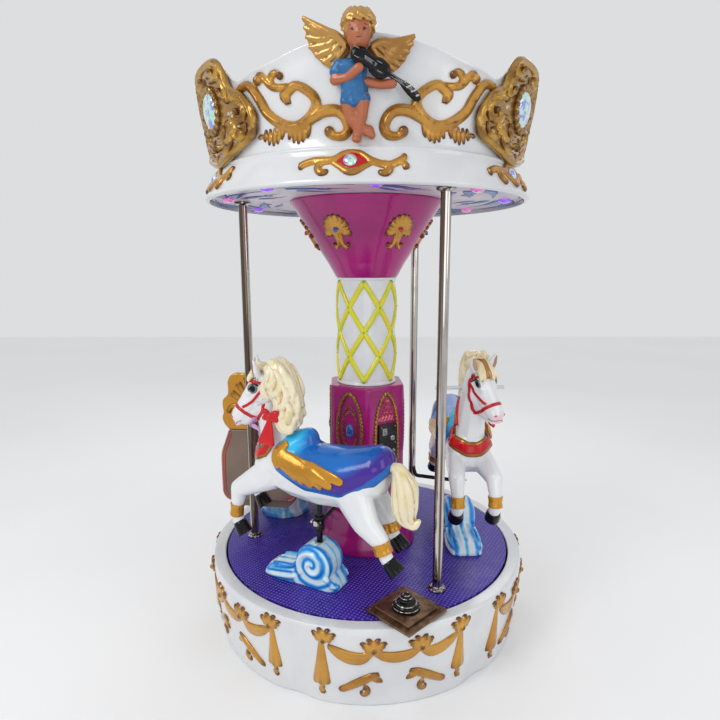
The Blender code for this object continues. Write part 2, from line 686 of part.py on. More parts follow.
SHOULDER = (0.165, 0.052, 0.700, 0.058, 0.040, 0.064)
REACHING_FORELEG = (
    SHOULDER, (0.292, FORE_SIDE, 0.628, 0.037, 0.032, 0.036), (0.305, FORE_SIDE, 0.568, 0.026, 0.025, 0.026),
    (0.314, FORE_SIDE, 0.520, 0.027, 0.025, 0.026), (0.288, FORE_SIDE, 0.468, 0.027, 0.026, 0.025),
)
FOLDED_FORELEG = (
    SHOULDER, (0.294, FORE_SIDE, 0.670, 0.037, 0.032, 0.036), (0.320, FORE_SIDE, 0.614, 0.026, 0.025, 0.026),
    (0.326, FORE_SIDE, 0.574, 0.027, 0.025, 0.026), (0.300, FORE_SIDE, 0.524, 0.027, 0.026, 0.025),
)


def saddle_outline():
    """Side view of the saddle and its flaps: low in the seat, high at both ends."""
    return (
        (0.146, 0.800), (0.104, 0.745), (0.045, 0.706), (-0.030, 0.678), (-0.110, 0.666), (-0.200, 0.688),
        (-0.282, 0.745), (-0.325, 0.820), (-0.312, 0.862), (-0.260, 0.885), (-0.120, 0.900), (0.000, 0.890),
        (0.060, 0.885), (0.138, 0.860),
    )


def horse_meshes():
    """The saddle, mane, tail and handle are shared, and the body comes in two poses."""
    handle_x, handle_z = HANDLE_AT
    ends = [(handle_x, side * HANDLE_HALF_LENGTH, handle_z) for side in (-1, 1)]
    handle = rod("handle_form", *ends, HANDLE_RADIUS, "chrome", sides=12, keep=False)
    handle_hole = rod("handle_hole", *ends, HANDLE_RADIUS + 2 * GAP, "black", sides=12, keep=False)
    rod_hole = rod(
        "rod_hole", (ROD_OFFSET, 0, 0.45), (ROD_OFFSET, 0, ROD_TOP + GAP), ROD_RADIUS + 2 * GAP, "black", keep=False
    )
    torso = sculpted("torso_form", horse_limbs(), "white", 0.011, 560, keep=False)
    torso_room = grown(torso)
    leg_rooms = []
    bodies = {}
    for tucked, foreleg in ((False, REACHING_FORELEG), (True, FOLDED_FORELEG)):
        leg = sculpted(f"foreleg_form_{tucked}", [foreleg], "white", 0.011, 90, keep=False)
        leg_rooms.append(grown(leg))
        bodies[tucked] = placed(f"body_form_{tucked}", torso.data.copy(), "white", keep=False)
        cut(bodies[tucked], leg, "UNION", solver="MANIFOLD")

    seat = (
        (
            (-0.262, 0, 0.785, 0.058, 0.084, 0.078), (-0.150, 0, 0.744, 0.090, 0.111, 0.094),
            (-0.020, 0, 0.738, 0.090, 0.108, 0.092), (0.085, 0, 0.766, 0.068, 0.104, 0.090),
        ),
        ((-0.262, 0, 0.810, 0.050, 0.060, 0.045), (-0.200, 0, 0.800, 0.050, 0.060, 0.040)),
        ((0.020, 0, 0.835, 0.035, 0.050, 0.050), (0.060, 0, 0.820, 0.060, 0.080, 0.050)),
    )
    saddle = sculpted("saddle_form", seat, "saddle", 0.011, 260, keep=False)
    side = slab("saddle_side", saddle_outline(), 0.4, "saddle", keep=False)
    cut(saddle, side, "INTERSECT", solver="MANIFOLD")
    for room in (torso_room, *leg_rooms):
        cut(saddle, room, solver="MANIFOLD")

    locks = (
        (
            (0.195, 0.010, 1.100, 0.040, 0.040, 0.036), (0.145, 0.012, 1.090, 0.050, 0.048, 0.052),
            (0.095, 0.014, 1.035, 0.054, 0.052, 0.056), (0.068, 0.016, 0.975, 0.052, 0.054, 0.052),
            (0.062, 0.020, 0.948, 0.050, 0.050, 0.044),
        ),
    )
    mane = sculpted("mane_form", locks, "mane", 0.011, 170, keep=False)
    cut(mane, torso_room, solver="MANIFOLD")
    cut(mane, handle_hole, solver="MANIFOLD")

    hair = (
        (
            (-0.300, 0, 0.792, 0.024, 0.022, 0.022), (-0.345, 0, 0.782, 0.034, 0.030, 0.032),
            (-0.362, 0, 0.730, 0.044, 0.036, 0.044), (-0.360, 0, 0.668, 0.048, 0.036, 0.046),
            (-0.368, 0, 0.616, 0.034, 0.028, 0.030), (-0.405, 0, 0.622, 0.018, 0.016, 0.018),
        ),
    )
    tail = sculpted("tail_form", hair, "mane", 0.010, 120, keep=False)
    cut(tail, torso_room, solver="MANIFOLD")
    cut(tail, grown(saddle), solver="MANIFOLD")
    for body in bodies.values():
        for hole in (handle_hole, rod_hole):
            cut(body, hole, solver="MANIFOLD")
    return bodies, {"saddle": saddle, "mane": mane, "tail": tail, "handle": handle}


def lift_rod_mesh():
    """The black rod under the belly, its clamp, and the foot bar on the horse's inner side."""
    profile = (
        (0, ROD_TOP), (ROD_RADIUS, ROD_TOP), (ROD_RADIUS, 0.560), (0.019, 0.556), (0.019, 0.506),
        (ROD_RADIUS, 0.500), (ROD_RADIUS, ROD_FOOT), (0, ROD_FOOT),
    )
    made = turned("rod_form", profile, "black", steps=10, keep=False)
    bar = rod("foot_bar", (0, 0.020, 0.530), (0, -0.190, 0.560), 0.008, "black", sides=8, keep=False)
    tip = rod("foot_bar_tip", (0, -0.184, 0.552), (0, -0.196, 0.600), 0.008, "black", sides=8, keep=False)
    cut(made, bar, "UNION")
    cut(made, tip, "UNION")
    for vertex in made.data.vertices:
        vertex.co.x += ROD_OFFSET
    return made.data


def horses(turntable):
    bodies, shared = horse_meshes()
    lift = lift_rod_mesh()
    pedestal = pedestal_mesh()
    for number, (azimuth, tucked) in enumerate(HORSES, 1):
        stand = empty(f"stand_{number}", on_ring(HORSE_RING_RADIUS, azimuth), azimuth + 180, turntable)
        placed(f"wave_pedestal_{number}", pedestal, "wave").parent = stand
        placed(f"horse_{number}_body", bodies[tucked].data, "white").parent = stand
        placed(f"horse_{number}_lift_rod", lift, "black").parent = stand
        for kind, look in (("saddle", "saddle"), ("mane", "mane"), ("tail", "mane"), ("handle", "chrome")):
            placed(f"horse_{number}_{kind}", shared[kind].data, look).parent = stand


def sector(name, inner, outer, low, high, start, end, look, keep=True):
    """A curved block between two radii, two heights and two azimuths."""
    steps = round((end - start) / 6)
    body = bmesh.new()
    rows = []
    for step in range(steps + 1):
        azimuth = start + (end - start) * step / steps
        corners = ((inner, low), (outer, low), (outer, high), (inner, high))
        rows.append([body.verts.new(on_ring(radius, azimuth, height)) for radius, height in corners])
    for first, second in zip(rows, rows[1:]):
        for corner in range(4):
            following = (corner + 1) % 4
            body.faces.new((first[corner], first[following], second[following], second[corner]))
    body.faces.new(rows[0])
    body.faces.new(rows[-1])
    bmesh.ops.recalc_face_normals(body, faces=body.faces[:])
    mesh = bpy.data.meshes.new(name)
    body.to_mesh(mesh)
    body.free()
    return placed(name, mesh, look, keep=keep)


def carriage():
    """The low seat behind the horses: a curved tub on a drum, with a high back under a gold crest."""
    inside = (CARRIAGE_INNER + CARRIAGE_WALL, CARRIAGE_OUTER - CARRIAGE_WALL)
    tub_span = (CARRIAGE_INNER, CARRIAGE_OUTER, CARRIAGE_FLOOR, CARRIAGE_RIM)
    tub = sector("carriage_tub", *tub_span, CARRIAGE_FRONT, CARRIAGE_BACK + 4, "cream")
    front = CARRIAGE_FRONT + 3
    wells = (
        ("seat_well", SEAT_HEIGHT, CARRIAGE_BACK - 6), ("foot_well", CARRIAGE_FLOOR + CARRIAGE_WALL, CARRIAGE_SEAT_FRONT),
    )
    for name, bottom, end in wells:
        cut(tub, sector(name, *inside, bottom, 0.7, front, end, "cream", keep=False))
    radial = CARRIAGE_BACK - 90
    behind = block("behind", (2, 0.4, 1), (0, 0.2 - BACK_THICKNESS / 2 - GAP, 0.6), "cream", keep=False)
    behind.rotation_euler.z = math.radians(radial)
    cut(tub, behind)
    half = (
        (0.124, 0.439), (0.152, 0.452), (0.166, 0.482), (0.166, 0.630), (0.150, 0.700), (0.127, CREST_SEAM),
    )
    crest_half = (
        (0.127, CREST_SEAM + GAP), (0.150, 0.796), (0.150, 0.894), (0.120, 0.934), (0.118, 0.994), (0.095, 1.018),
        (0.050, 1.015), (0.030, 1.026),
    )
    middle = (CARRIAGE_INNER + CARRIAGE_OUTER) / 2
    for name, side, look in (("carriage_back", half, "cream"), ("carriage_crest", crest_half, "gold")):
        outline = [(middle + x, z) for x, z in side] + [(middle - x, z) for x, z in reversed(side)]
        slab(name, outline, BACK_THICKNESS, look).rotation_euler.z = math.radians(radial)
    drum = (
        (0, CARRIAGE_FLOOR - GAP), (0.085, CARRIAGE_FLOOR - GAP), (0.092, 0.370), (0.110, 0.318),
        (0.112, ON_DECK), (0, ON_DECK),
    )
    turned("carriage_plinth", drum, "wave", steps=24).location = on_ring(middle, CARRIAGE_SEAT_FRONT)


def main():
    turntable = empty("turntable")
    base_skirt()
    chassis()
    deck()
    column()
    coin_door()
    poles(turntable)
    turned(
        "canopy_ceiling",
        (
            (0, CEILING_BOTTOM + CEILING_THICKNESS), (CEILING_RADIUS, CEILING_BOTTOM + CEILING_THICKNESS),
            (CEILING_RADIUS, CEILING_BOTTOM), (0, CEILING_BOTTOM),
        ),
        "ceiling",
    )
    crown_panels()
    core = crown_core()
    cherubs(core, turntable)
    gem_crests(core, turntable)
    control_plate()
    horses(turntable)
    carriage()
    for piece in list(PARTS.objects):
        if piece.parent is None and piece.type == "MESH" and piece.name not in ("base_skirt", "chassis"):
            piece.parent = turntable


main()
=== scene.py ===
# %% [markdown]
# # A small fairground carousel
# The real ride is a fibreglass moulding on a steel frame. A fixed white base stands on the floor,
# and above it one turntable carries the deck, the column, three chrome poles and the crown. Two
# horses gallop on rods that come up out of wave-shaped pedestals, and a low carriage follows them.
#
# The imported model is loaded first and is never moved. Each piece below is built in metres in the
# same place, is told which body it rides on, and takes over from the plain solid it stands for.

# %% Load the frame
import math

import bmesh
import bpy
from mathutils import Matrix, Vector
from mathutils.bvhtree import BVHTree


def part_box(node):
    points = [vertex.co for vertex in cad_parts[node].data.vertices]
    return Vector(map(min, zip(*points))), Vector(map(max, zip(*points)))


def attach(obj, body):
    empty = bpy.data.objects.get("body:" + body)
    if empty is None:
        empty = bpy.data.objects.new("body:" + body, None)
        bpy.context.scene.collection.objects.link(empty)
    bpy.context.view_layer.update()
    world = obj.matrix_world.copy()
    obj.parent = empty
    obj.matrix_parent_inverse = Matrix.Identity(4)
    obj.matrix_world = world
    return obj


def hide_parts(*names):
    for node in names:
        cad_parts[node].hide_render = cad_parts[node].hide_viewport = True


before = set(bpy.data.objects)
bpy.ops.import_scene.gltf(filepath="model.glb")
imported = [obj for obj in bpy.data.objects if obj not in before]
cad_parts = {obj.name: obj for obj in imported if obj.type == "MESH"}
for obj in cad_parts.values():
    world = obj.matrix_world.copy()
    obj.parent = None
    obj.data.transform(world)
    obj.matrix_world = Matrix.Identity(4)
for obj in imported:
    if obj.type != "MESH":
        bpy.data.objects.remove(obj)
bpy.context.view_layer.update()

SCENE = bpy.context.scene

# %% [markdown]
# ## Sizes
# A ride like this is drawn round its axis, so places are given as a radius, a height and an
# azimuth. Azimuths are degrees from the front (-Y) towards +X. The main sizes are read from the
# frame, and the rest are the mouldings' own. GAP is left between two mouldings that touch.

# %% Read the main sizes
def top_of(node):
    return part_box(node)[1].z


def reach_of(node):
    low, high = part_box(node)
    return (high.x - low.x) / 2


DECK_TOP = top_of("deck")
DECK_RADIUS = reach_of("deck")
FOOT_TOP = top_of("column_foot")
CASING_TOP = top_of("column_casing")
TRUNK_TOP = top_of("column_trunk")
CEILING_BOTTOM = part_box("canopy_ceiling")[0].z
CEILING_RADIUS = reach_of("canopy_ceiling")
CROWN_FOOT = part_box("crown_panel_1")[0].z
GAP = 0.0003
ON_DECK = 0.3003
UNDER_CEILING = 1.7017
BASE_RADIUS = 0.648
BASE_FOOT_RADIUS = 0.620
BAND_BOTTOM = 1.695
BAND_RADIUS = 0.6145
WAIST = 1.795
WAIST_RADIUS = 0.558
CROWN_TOP = 2.110
CROWN_TOP_RADIUS = 0.606
CROWN_WALL = 0.008
print(f"deck top {DECK_TOP:.3f} m, ceiling {CEILING_BOTTOM:.3f} m, crown foot {CROWN_FOOT:.3f} m")


def on_ring(radius, azimuth, height=0.0):
    turn = math.radians(azimuth)
    return Vector((radius * math.sin(turn), -radius * math.cos(turn), height))


# %% [markdown]
# ## Finishes
# The ride is sprayed gelcoat: a thick glossy skin whose colour drifts a little and which keeps a
# faint orange peel from the mould. Each finish starts with that skin. Later colours are laid over
# it where a mask says, as a painter would: into the recesses, down a fade, or along strokes.

# %% The sprayed skin
def new_node(made, kind, **settings):
    node = made.node_tree.nodes.new(kind)
    for name, value in settings.items():
        setattr(node, name, value)
    return node


def wire(made, source, target):
    made.node_tree.links.new(source, target)


def shader_of(made):
    return made.node_tree.nodes["Principled BSDF"]


def place_of(made):
    """Where a point is on its piece, in metres."""
    return new_node(made, "ShaderNodeTexCoord").outputs["Object"]


def noise(made, scale, detail, stretch=(1, 1, 1)):
    texture = new_node(made, "ShaderNodeTexNoise")
    texture.inputs["Scale"].default_value = scale
    texture.inputs["Detail"].default_value = detail
    mapping = new_node(made, "ShaderNodeMapping")
    mapping.inputs["Scale"].default_value = stretch
    wire(made, place_of(made), mapping.inputs["Vector"])
    wire(made, mapping.outputs["Vector"], texture.inputs["Vector"])
    return texture.outputs["Fac"]


def fade(made, value, low, high):
    """0 below low, 1 above high, and smooth between them."""
    ramp = new_node(made, "ShaderNodeMapRange", interpolation_type="SMOOTHSTEP")
    ramp.inputs["From Min"].default_value = low
    ramp.inputs["From Max"].default_value = high
    wire(made, value, ramp.inputs["Value"])
    return ramp.outputs["Result"]


def combined(made, operation, first, second):
    maths = new_node(made, "ShaderNodeMath", operation=operation)
    for socket, value in zip(maths.inputs, (first, second)):
        if isinstance(value, (int, float)):
            socket.default_value = value
        else:
            wire(made, value, socket)
    return maths.outputs["Value"]


def laid_over(made, mask, colour):
    """Lays another colour over the finish where the mask is 1."""
    base = shader_of(made).inputs["Base Color"]
    mix = new_node(made, "ShaderNodeMix", data_type="RGBA")
    wire(made, mask, mix.inputs[0])
    if base.links:
        wire(made, base.links[0].from_socket, mix.inputs[6])
    else:
        mix.inputs[6].default_value = base.default_value
    mix.inputs[7].default_value = (*colour, 1)
    wire(made, mix.outputs[2], base)
    return made


def roughened(made, low, high, scale=14.0):
    """The gloss is uneven, from hand polish and small hands."""
    spread = new_node(made, "ShaderNodeMapRange")
    spread.inputs["From Min"].default_value = 0.35
    spread.inputs["From Max"].default_value = 0.65
    spread.inputs["To Min"].default_value = low
    spread.inputs["To Max"].default_value = high
    wire(made, noise(made, scale, 5.0), spread.inputs["Value"])
    wire(made, spread.outputs["Result"], shader_of(made).inputs["Roughness"])
    return made


def bumped(made, height, distance, strength=1.0):
    bump = new_node(made, "ShaderNodeBump")
    bump.inputs["Distance"].default_value = distance
    bump.inputs["Strength"].default_value = strength
    normal = shader_of(made).inputs["Normal"]
    if normal.links:
        wire(made, normal.links[0].from_socket, bump.inputs["Normal"])
    wire(made, height, bump.inputs["Height"])
    wire(made, bump.outputs["Normal"], normal)
    return made


def recesses(made, low=0.42, high=0.50):
    """1 in the hollows of a moulding, 0 on its crests."""
    shape = new_node(made, "ShaderNodeNewGeometry").outputs["Pointiness"]
    return combined(made, "SUBTRACT", 1.0, fade(made, shape, low, high))


def plain_finish(name, colour, settings):
    """One even colour, and other settings by the names of the shader's sockets."""
    made = bpy.data.materials.new(name)
    made.use_nodes = True
    for socket, value in {"Base Color": (*colour, 1), **settings}.items():
        shader_of(made).inputs[socket].default_value = value
    return made


def gelcoat(name, colour, drift, roughness=(0.14, 0.26), metallic=0.0, coat=0.6, peel=0.00025,
            specular=0.5):
    """A sprayed skin: its colour, the colour it drifts to, and how rough it is."""
    made = plain_finish(name, colour, {
        "Metallic": metallic, "Coat Weight": coat, "Coat Roughness": 0.08, "Specular IOR Level": specular,
    })
    laid_over(made, fade(made, noise(made, 5.0, 4.0), 0.40, 0.66), drift)
    roughened(made, *roughness)
    bumped(made, noise(made, 170.0, 2.0), peel)
    return made


WHITE = gelcoat("white_gelcoat_skin", (0.70, 0.71, 0.72), (0.64, 0.655, 0.68))
MAGENTA = gelcoat("magenta_gelcoat_skin", (0.38, 0.008, 0.170), (0.29, 0.006, 0.13), (0.10, 0.20), coat=0.2,
                  specular=0.4)
BLACK = gelcoat("black_gloss_paint", (0.002, 0.002, 0.003), (0.006, 0.006, 0.007), (0.08, 0.16), coat=0.0,
                specular=0.28)
RED = gelcoat("red_strap_paint", (0.56, 0.003, 0.008), (0.42, 0.002, 0.006), coat=0.15, specular=0.35)
YELLOW = gelcoat("yellow_lattice_paint", (0.74, 0.62, 0.01), (0.64, 0.62, 0.015), coat=0.3)
GREEN = gelcoat("green_dot_paint", (0.10, 0.42, 0.04), (0.18, 0.48, 0.05))
CREAM = gelcoat("cream_gelcoat_skin", (0.20, 0.135, 0.095), (0.16, 0.105, 0.072), coat=0.3)
SKIN = gelcoat("cherub_skin_paint", (0.40, 0.115, 0.045), (0.33, 0.085, 0.032), (0.25, 0.4), coat=0.2)
# Painted shade: the skin is darker in its recesses.
laid_over(SKIN, recesses(SKIN, 0.40, 0.49), (0.17, 0.035, 0.014))
print("plain finishes:", len(bpy.data.materials))

# %% [markdown]
# The ornaments are gold paint, not gilding: an ochre yellow with a little metal flake. Their
# recesses are darkened to brown as painted shade. Pointiness, which Blender works out from the
# mesh itself, tells crests from recesses.

# %% Gold paint
def gold_paint(name, bright, ochre, recess_shade):
    made = gelcoat(name, bright, ochre, (0.14, 0.28), metallic=0.55, coat=0.4)
    # Painted shade: the recesses take the darker shade colour.
    laid_over(made, recesses(made), recess_shade)
    bumped(made, noise(made, 900.0, 1.0), 0.00012)
    bumped(made, noise(made, 60.0, 3.0), 0.0006, 0.6)
    return made


# The last colour of each gold is the painted shade laid in its recesses.
GOLD = gold_paint("gold_ornament_paint", (0.62, 0.315, 0.045), (0.46, 0.205, 0.022), (0.13, 0.045, 0.006))
WING_GOLD = gold_paint("ochre_wing_paint", (0.58, 0.27, 0.014), (0.47, 0.20, 0.010), (0.22, 0.075, 0.004))
ROSE_GOLD = gold_paint("rose_gold_paint", (0.62, 0.22, 0.12), (0.50, 0.15, 0.12), (0.24, 0.05, 0.08))
HAIR_GOLD = gold_paint("gilt_hair_paint", (0.50, 0.27, 0.065), (0.36, 0.165, 0.03), (0.11, 0.045, 0.01))
print("gold finishes:", 4)

# %% [markdown]
# The tubes are chromed steel. They carry fine draw lines along the tube and a few smears, so
# their roughness changes along and round them. Dark streaks along them are painted reflection.

# %% Metals
def metal(name, colour, roughness, stretch, grain):
    made = plain_finish(name, colour, {"Metallic": 1.0})
    laid_over(made, fade(made, noise(made, 9.0, 4.0), 0.42, 0.7), tuple(part * 0.8 for part in colour))
    roughened(made, *roughness, scale=22.0)
    bumped(made, noise(made, 260.0, 2.0, stretch), grain)
    return made


CHROME = metal("chromed_tube", (0.60, 0.56, 0.53), (0.05, 0.14), (1, 1, 0.03), 0.00008)
# Painted reflection: dark streaks along the tube stand in for the surroundings the chrome mirrors.
laid_over(CHROME, fade(CHROME, noise(CHROME, 75.0, 1.0, (1, 1, 0.004)), 0.47, 0.56), (0.13, 0.095, 0.075))
BRONZE = metal("brown_bronze", (0.26, 0.165, 0.10), (0.30, 0.46), (1, 1, 1), 0.0004)
STEEL = metal("dull_silver", (0.45, 0.45, 0.46), (0.22, 0.36), (1, 1, 1), 0.0003)
print("metals:", CHROME.name, BRONZE.name, STEEL.name)

# %% [markdown]
# The deck is purple with a fine anti-slip pattern pressed into the gelcoat, a chequer of little
# bars. Two waves crossed and clipped give the bars, and their raised tops carry a painted highlight.

# %% The deck's chequer
def waves(made, scale, direction, rotation):
    mapping = new_node(made, "ShaderNodeMapping")
    mapping.inputs["Rotation"].default_value = (0, 0, math.radians(rotation))
    wire(made, place_of(made), mapping.inputs["Vector"])
    texture = new_node(made, "ShaderNodeTexWave", bands_direction=direction)
    texture.inputs["Scale"].default_value = scale
    wire(made, mapping.outputs["Vector"], texture.inputs["Vector"])
    return texture.outputs["Fac"]


DECK_PURPLE = gelcoat("purple_deck_skin", (0.034, 0.012, 0.30), (0.024, 0.008, 0.21), (0.22, 0.34),
                      coat=0.0, specular=0.32)
CHEQUER = 24.0
bars = combined(DECK_PURPLE, "MULTIPLY", waves(DECK_PURPLE, CHEQUER, "X", 30),
                waves(DECK_PURPLE, CHEQUER, "Y", 30))
raised = fade(DECK_PURPLE, bars, 0.28, 0.42)
bumped(DECK_PURPLE, raised, 0.0016, 0.9)
# Painted highlight: the raised bars are coloured lighter, as if lit.
laid_over(DECK_PURPLE, combined(DECK_PURPLE, "MULTIPLY", raised, 0.85), (0.16, 0.11, 0.50))
print("deck chequer pitch:", round(1000 * math.pi / 10 / CHEQUER, 1), "mm")

# %% [markdown]
# ## Tools for the mouldings
# Three ways of making shapes serve nearly every piece. A lathe turns a profile round the axis. A
# stroke is a rib drawn with a few points, as a woodcarver would draw a scroll. Limbs are chains of
# balls, for bodies. Strokes and limbs are fused by a voxel remesh, which gives the soft joints of
# a fibreglass mould.

# %% Put a piece in the scene
def piece(name, mesh, look, body, nodes=(), azimuth=0.0, sharp=None, stand=None):
    """A finished piece that rides on a body and stands for the solids it is named with."""
    if azimuth:
        mesh = mesh.copy()
        mesh.transform(Matrix.Rotation(math.radians(azimuth), 4, "Z"))
    made = bpy.data.objects.new(name, mesh)
    SCENE.collection.objects.link(made)
    if stand is not None:
        made.matrix_world = stand
    mesh.materials.clear()
    mesh.materials.append(look)
    mesh.shade_smooth()
    if sharp:
        mesh.set_sharp_from_angle(angle=math.radians(sharp))
    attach(made, body)
    if nodes:
        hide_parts(*nodes)
    return made


def mesh_from(body, name):
    mesh = bpy.data.meshes.new(name)
    body.to_mesh(mesh)
    body.free()
    return mesh


def worked(mesh, *modifiers):
    """The mesh with modifiers, given as (kind, settings), worked into it."""
    holder = bpy.data.objects.new("holder", mesh)
    SCENE.collection.objects.link(holder)
    for kind, settings in modifiers:
        modifier = holder.modifiers.new(kind.lower(), kind)
        for name, value in settings.items():
            setattr(modifier, name, value)
    graph = bpy.context.evaluated_depsgraph_get()
    made = bpy.data.meshes.new_from_object(holder.evaluated_get(graph))
    bpy.data.objects.remove(holder, do_unlink=True)
    return made


def carved(mesh, cutter_mesh, operation):
    """The mesh cut by another: DIFFERENCE keeps what lies outside it, INTERSECT what lies inside."""
    cutter = bpy.data.objects.new("cutter", cutter_mesh)
    SCENE.collection.objects.link(cutter)
    made = worked(mesh, ("BOOLEAN", {"object": cutter, "operation": operation, "solver": "EXACT"}))
    bpy.data.objects.remove(cutter, do_unlink=True)
    return made


def tree_of(mesh):
    """A search tree that finds the nearest spot of a mesh's skin."""
    return BVHTree.FromPolygons([v.co for v in mesh.vertices], [p.vertices for p in mesh.polygons])


print("ready to place pieces")

# %% [markdown]
# A lathe turns a profile round the axis. Mouldings have no sharp corners, so a profile is eased
# first: each corner becomes a small curve.

# %% The lathe
def eased(profile, radius, parts=4):
    """A profile with its corners rounded, so that they catch a line of light."""
    made = [profile[0]]
    for before, corner, after in zip(profile, profile[1:], profile[2:]):
        corner_at = Vector(corner)
        leaving = Vector(before) - corner_at
        arriving = Vector(after) - corner_at
        cutback = min(radius, leaving.length * 0.45, arriving.length * 0.45)
        start = corner_at + leaving.normalized() * cutback
        end = corner_at + arriving.normalized() * cutback
        for part in range(parts + 1):
            along = part / parts
            point = start.lerp(corner_at, along).lerp(corner_at.lerp(end, along), along)
            made.append(tuple(point))
    made.append(profile[-1])
    return made


def lathed(name, profile, steps, reshape=None):
    """A profile of (radius, height), from the top down its outer side, turned round the axis."""
    body = bmesh.new()
    rings = []
    for radius, height in profile:
        if radius < 1e-6:
            rings.append([body.verts.new((0, 0, height))] * steps)
            continue
        ring = []
        for step in range(steps):
            azimuth = 360 * step / steps
            shaped = reshape(radius, azimuth, height) if reshape else radius
            ring.append(body.verts.new(on_ring(shaped, azimuth, height)))
        rings.append(ring)
    for upper, lower in zip(rings, rings[1:]):
        for step in range(steps):
            following = (step + 1) % steps
            corners = (upper[step], lower[step], lower[following], upper[following])
            body.faces.new(list(dict.fromkeys(corners)))
    return mesh_from(body, name)


print("lathe ready")

# %% [markdown]
# Scrolls, ropes and hair are rods swept along a smooth run through a few points. Bodies are chains
# of balls, each joined to the next by its hull. A voxel remesh then fuses them into one skin.

# %% Strokes and limbs
def spline(points, parts=6):
    """A smooth run through points of any length, with its own width at each."""
    ends = [points[0], *points, points[-1]]
    made = []
    for a, b, c, d in zip(ends, ends[1:], ends[2:], ends[3:]):
        for part in range(parts):
            t = part / parts
            made.append(tuple(
                0.5 * (2 * q + (r - p) * t + (2 * p - 5 * q + 4 * r - s) * t * t
                       + (3 * q - p - 3 * r + s) * t ** 3)
                for p, q, r, s in zip(a, b, c, d)
            ))
    made.append(tuple(points[-1]))
    return made


def tube(body, rows):
    """Closes rows of points into one skin with capped ends."""
    rings = [[body.verts.new(point) for point in row] for row in rows]
    count = len(rings[0])
    for first, second in zip(rings, rings[1:]):
        for side in range(count):
            following = (side + 1) % count
            body.faces.new((first[side], first[following], second[following], second[side]))
    body.faces.new(rings[0][::-1])
    body.faces.new(rings[-1])


def stroke(body, points, height, sides=10):
    """A rib on a flat board: points of (across, up, half width), height as a share of the width."""
    path = spline(points)
    rows = []
    for number, (across, up, half) in enumerate(path):
        ahead = path[min(number + 1, len(path) - 1)]
        behind = path[max(number - 1, 0)]
        run = Vector((ahead[0] - behind[0], ahead[1] - behind[1])).normalized()
        row = []
        for side in range(sides):
            turn = math.tau * side / sides
            wide = half * math.cos(turn)
            row.append((across - run.y * wide, half * height * math.sin(turn), up + run.x * wide))
        rows.append(row)
    tube(body, rows)


def curl(centre, radius, start, turns, half, end_half=0.4, parts=10):
    """Points of a scroll that winds inward from its outer end, in degrees and turns."""
    made = []
    for part in range(parts + 1):
        along = part / parts
        turn = math.radians(start + 360 * turns * along)
        size = radius * (1 - 0.78 * along)
        width = half * (1 - (1 - end_half) * along)
        made.append((centre[0] + size * math.cos(turn), centre[1] + size * math.sin(turn), width))
    return made


def lock(body, points, sides=10):
    """A round rod through space: points of (x, y, z, radius)."""
    path = spline(points)
    rows = []
    side_way = None
    for number, (x, y, z, radius) in enumerate(path):
        ahead = Vector(path[min(number + 1, len(path) - 1)][:3])
        behind = Vector(path[max(number - 1, 0)][:3])
        run = (ahead - behind).normalized()
        if side_way is None:
            side_way = run.orthogonal().normalized()
        side_way = (side_way - run * side_way.dot(run)).normalized()
        up_way = run.cross(side_way)
        row = []
        for side in range(sides):
            turn = math.tau * side / sides
            reach = side_way * math.cos(turn) + up_way * math.sin(turn)
            row.append(Vector((x, y, z)) + reach * radius)
        rows.append(row)
    tube(body, rows)


def ball(body, centre, radii, turn=None, detail=3):
    place = Matrix.Translation(centre) @ (turn or Matrix.Identity(4)) @ Matrix.Diagonal((*radii, 1))
    bmesh.ops.create_icosphere(body, subdivisions=detail, radius=1, matrix=place)


def web(body, knobs, detail=1):
    """One hull over balls (x, y, z, rx, ry, rz)."""
    link = bmesh.new()
    for knob in knobs:
        ball(link, knob[:3], knob[3:], detail=detail)
    hull = bmesh.ops.convex_hull(link, input=link.verts[:])
    inner = [v for v in hull["geom_interior"] if isinstance(v, bmesh.types.BMVert)]
    bmesh.ops.delete(link, geom=inner, context="VERTS")
    body.from_mesh(mesh_from(link, "link"))


def limb(body, knobs, detail=2):
    """A chain of balls, each joined to the next by its hull."""
    for pair in zip(knobs, knobs[1:]):
        web(body, pair, detail)


THINNING = 0.36


def moulded(name, body, voxel, passes, triangles=5000):
    """Everything in the body fused into one soft skin, thinned to about this many triangles."""
    skin = ("REMESH", {"mode": "VOXEL", "voxel_size": voxel})
    fused = worked(mesh_from(body, name), skin, ("SMOOTH", {"iterations": passes}))
    share = THINNING * triangles / len(fused.polygons)
    return worked(fused, ("DECIMATE", {"ratio": share})) if share < 1 else fused


def prism(outline, half_width):
    """A side outline of (x, z) points as a block that reaches this far to both sides."""
    body = bmesh.new()
    near = [body.verts.new((x, half_width, z)) for x, z in outline]
    far = [body.verts.new((x, -half_width, z)) for x, z in outline]
    body.faces.new(near)
    body.faces.new(far[::-1])
    for index in range(len(near)):
        following = (index + 1) % len(near)
        body.faces.new((near[index], far[index], far[following], near[following]))
    bmesh.ops.recalc_face_normals(body, faces=body.faces)
    return body


def bent(mesh, surface, back=-0.004):
    """A moulding laid from its flat board onto a surface, its back kept just inside it."""
    for vertex in mesh.vertices:
        across, out, up = vertex.co
        vertex.co = surface(across, max(out, back), up)
    return mesh


print("tools ready")

# %% [markdown]
# ## Base
# The white base is one hollow moulding in six lobes with a flat rim round the deck. It is turned
# like a pot, and then its sides are pressed in along six soft grooves.

# %% The base skirt
LOBES = 6
LOBE_CENTRE = 8.2
GROOVE_DEPTH = 0.012
GROOVE_HALF_WIDTH = 5.0
RIM_INNER_RADIUS = 0.5965


def lobed(radius, azimuth, height):
    spread = 360 / LOBES
    off = (azimuth - LOBE_CENTRE) % spread - spread / 2
    groove = GROOVE_DEPTH * math.exp(-((off / GROOVE_HALF_WIDTH) ** 2))
    outer = min(1.0, max(0.0, (radius - 0.600) / 0.012))
    below = min(1.0, max(0.0, (DECK_TOP - height) / 0.03))
    return radius - groove * outer * below


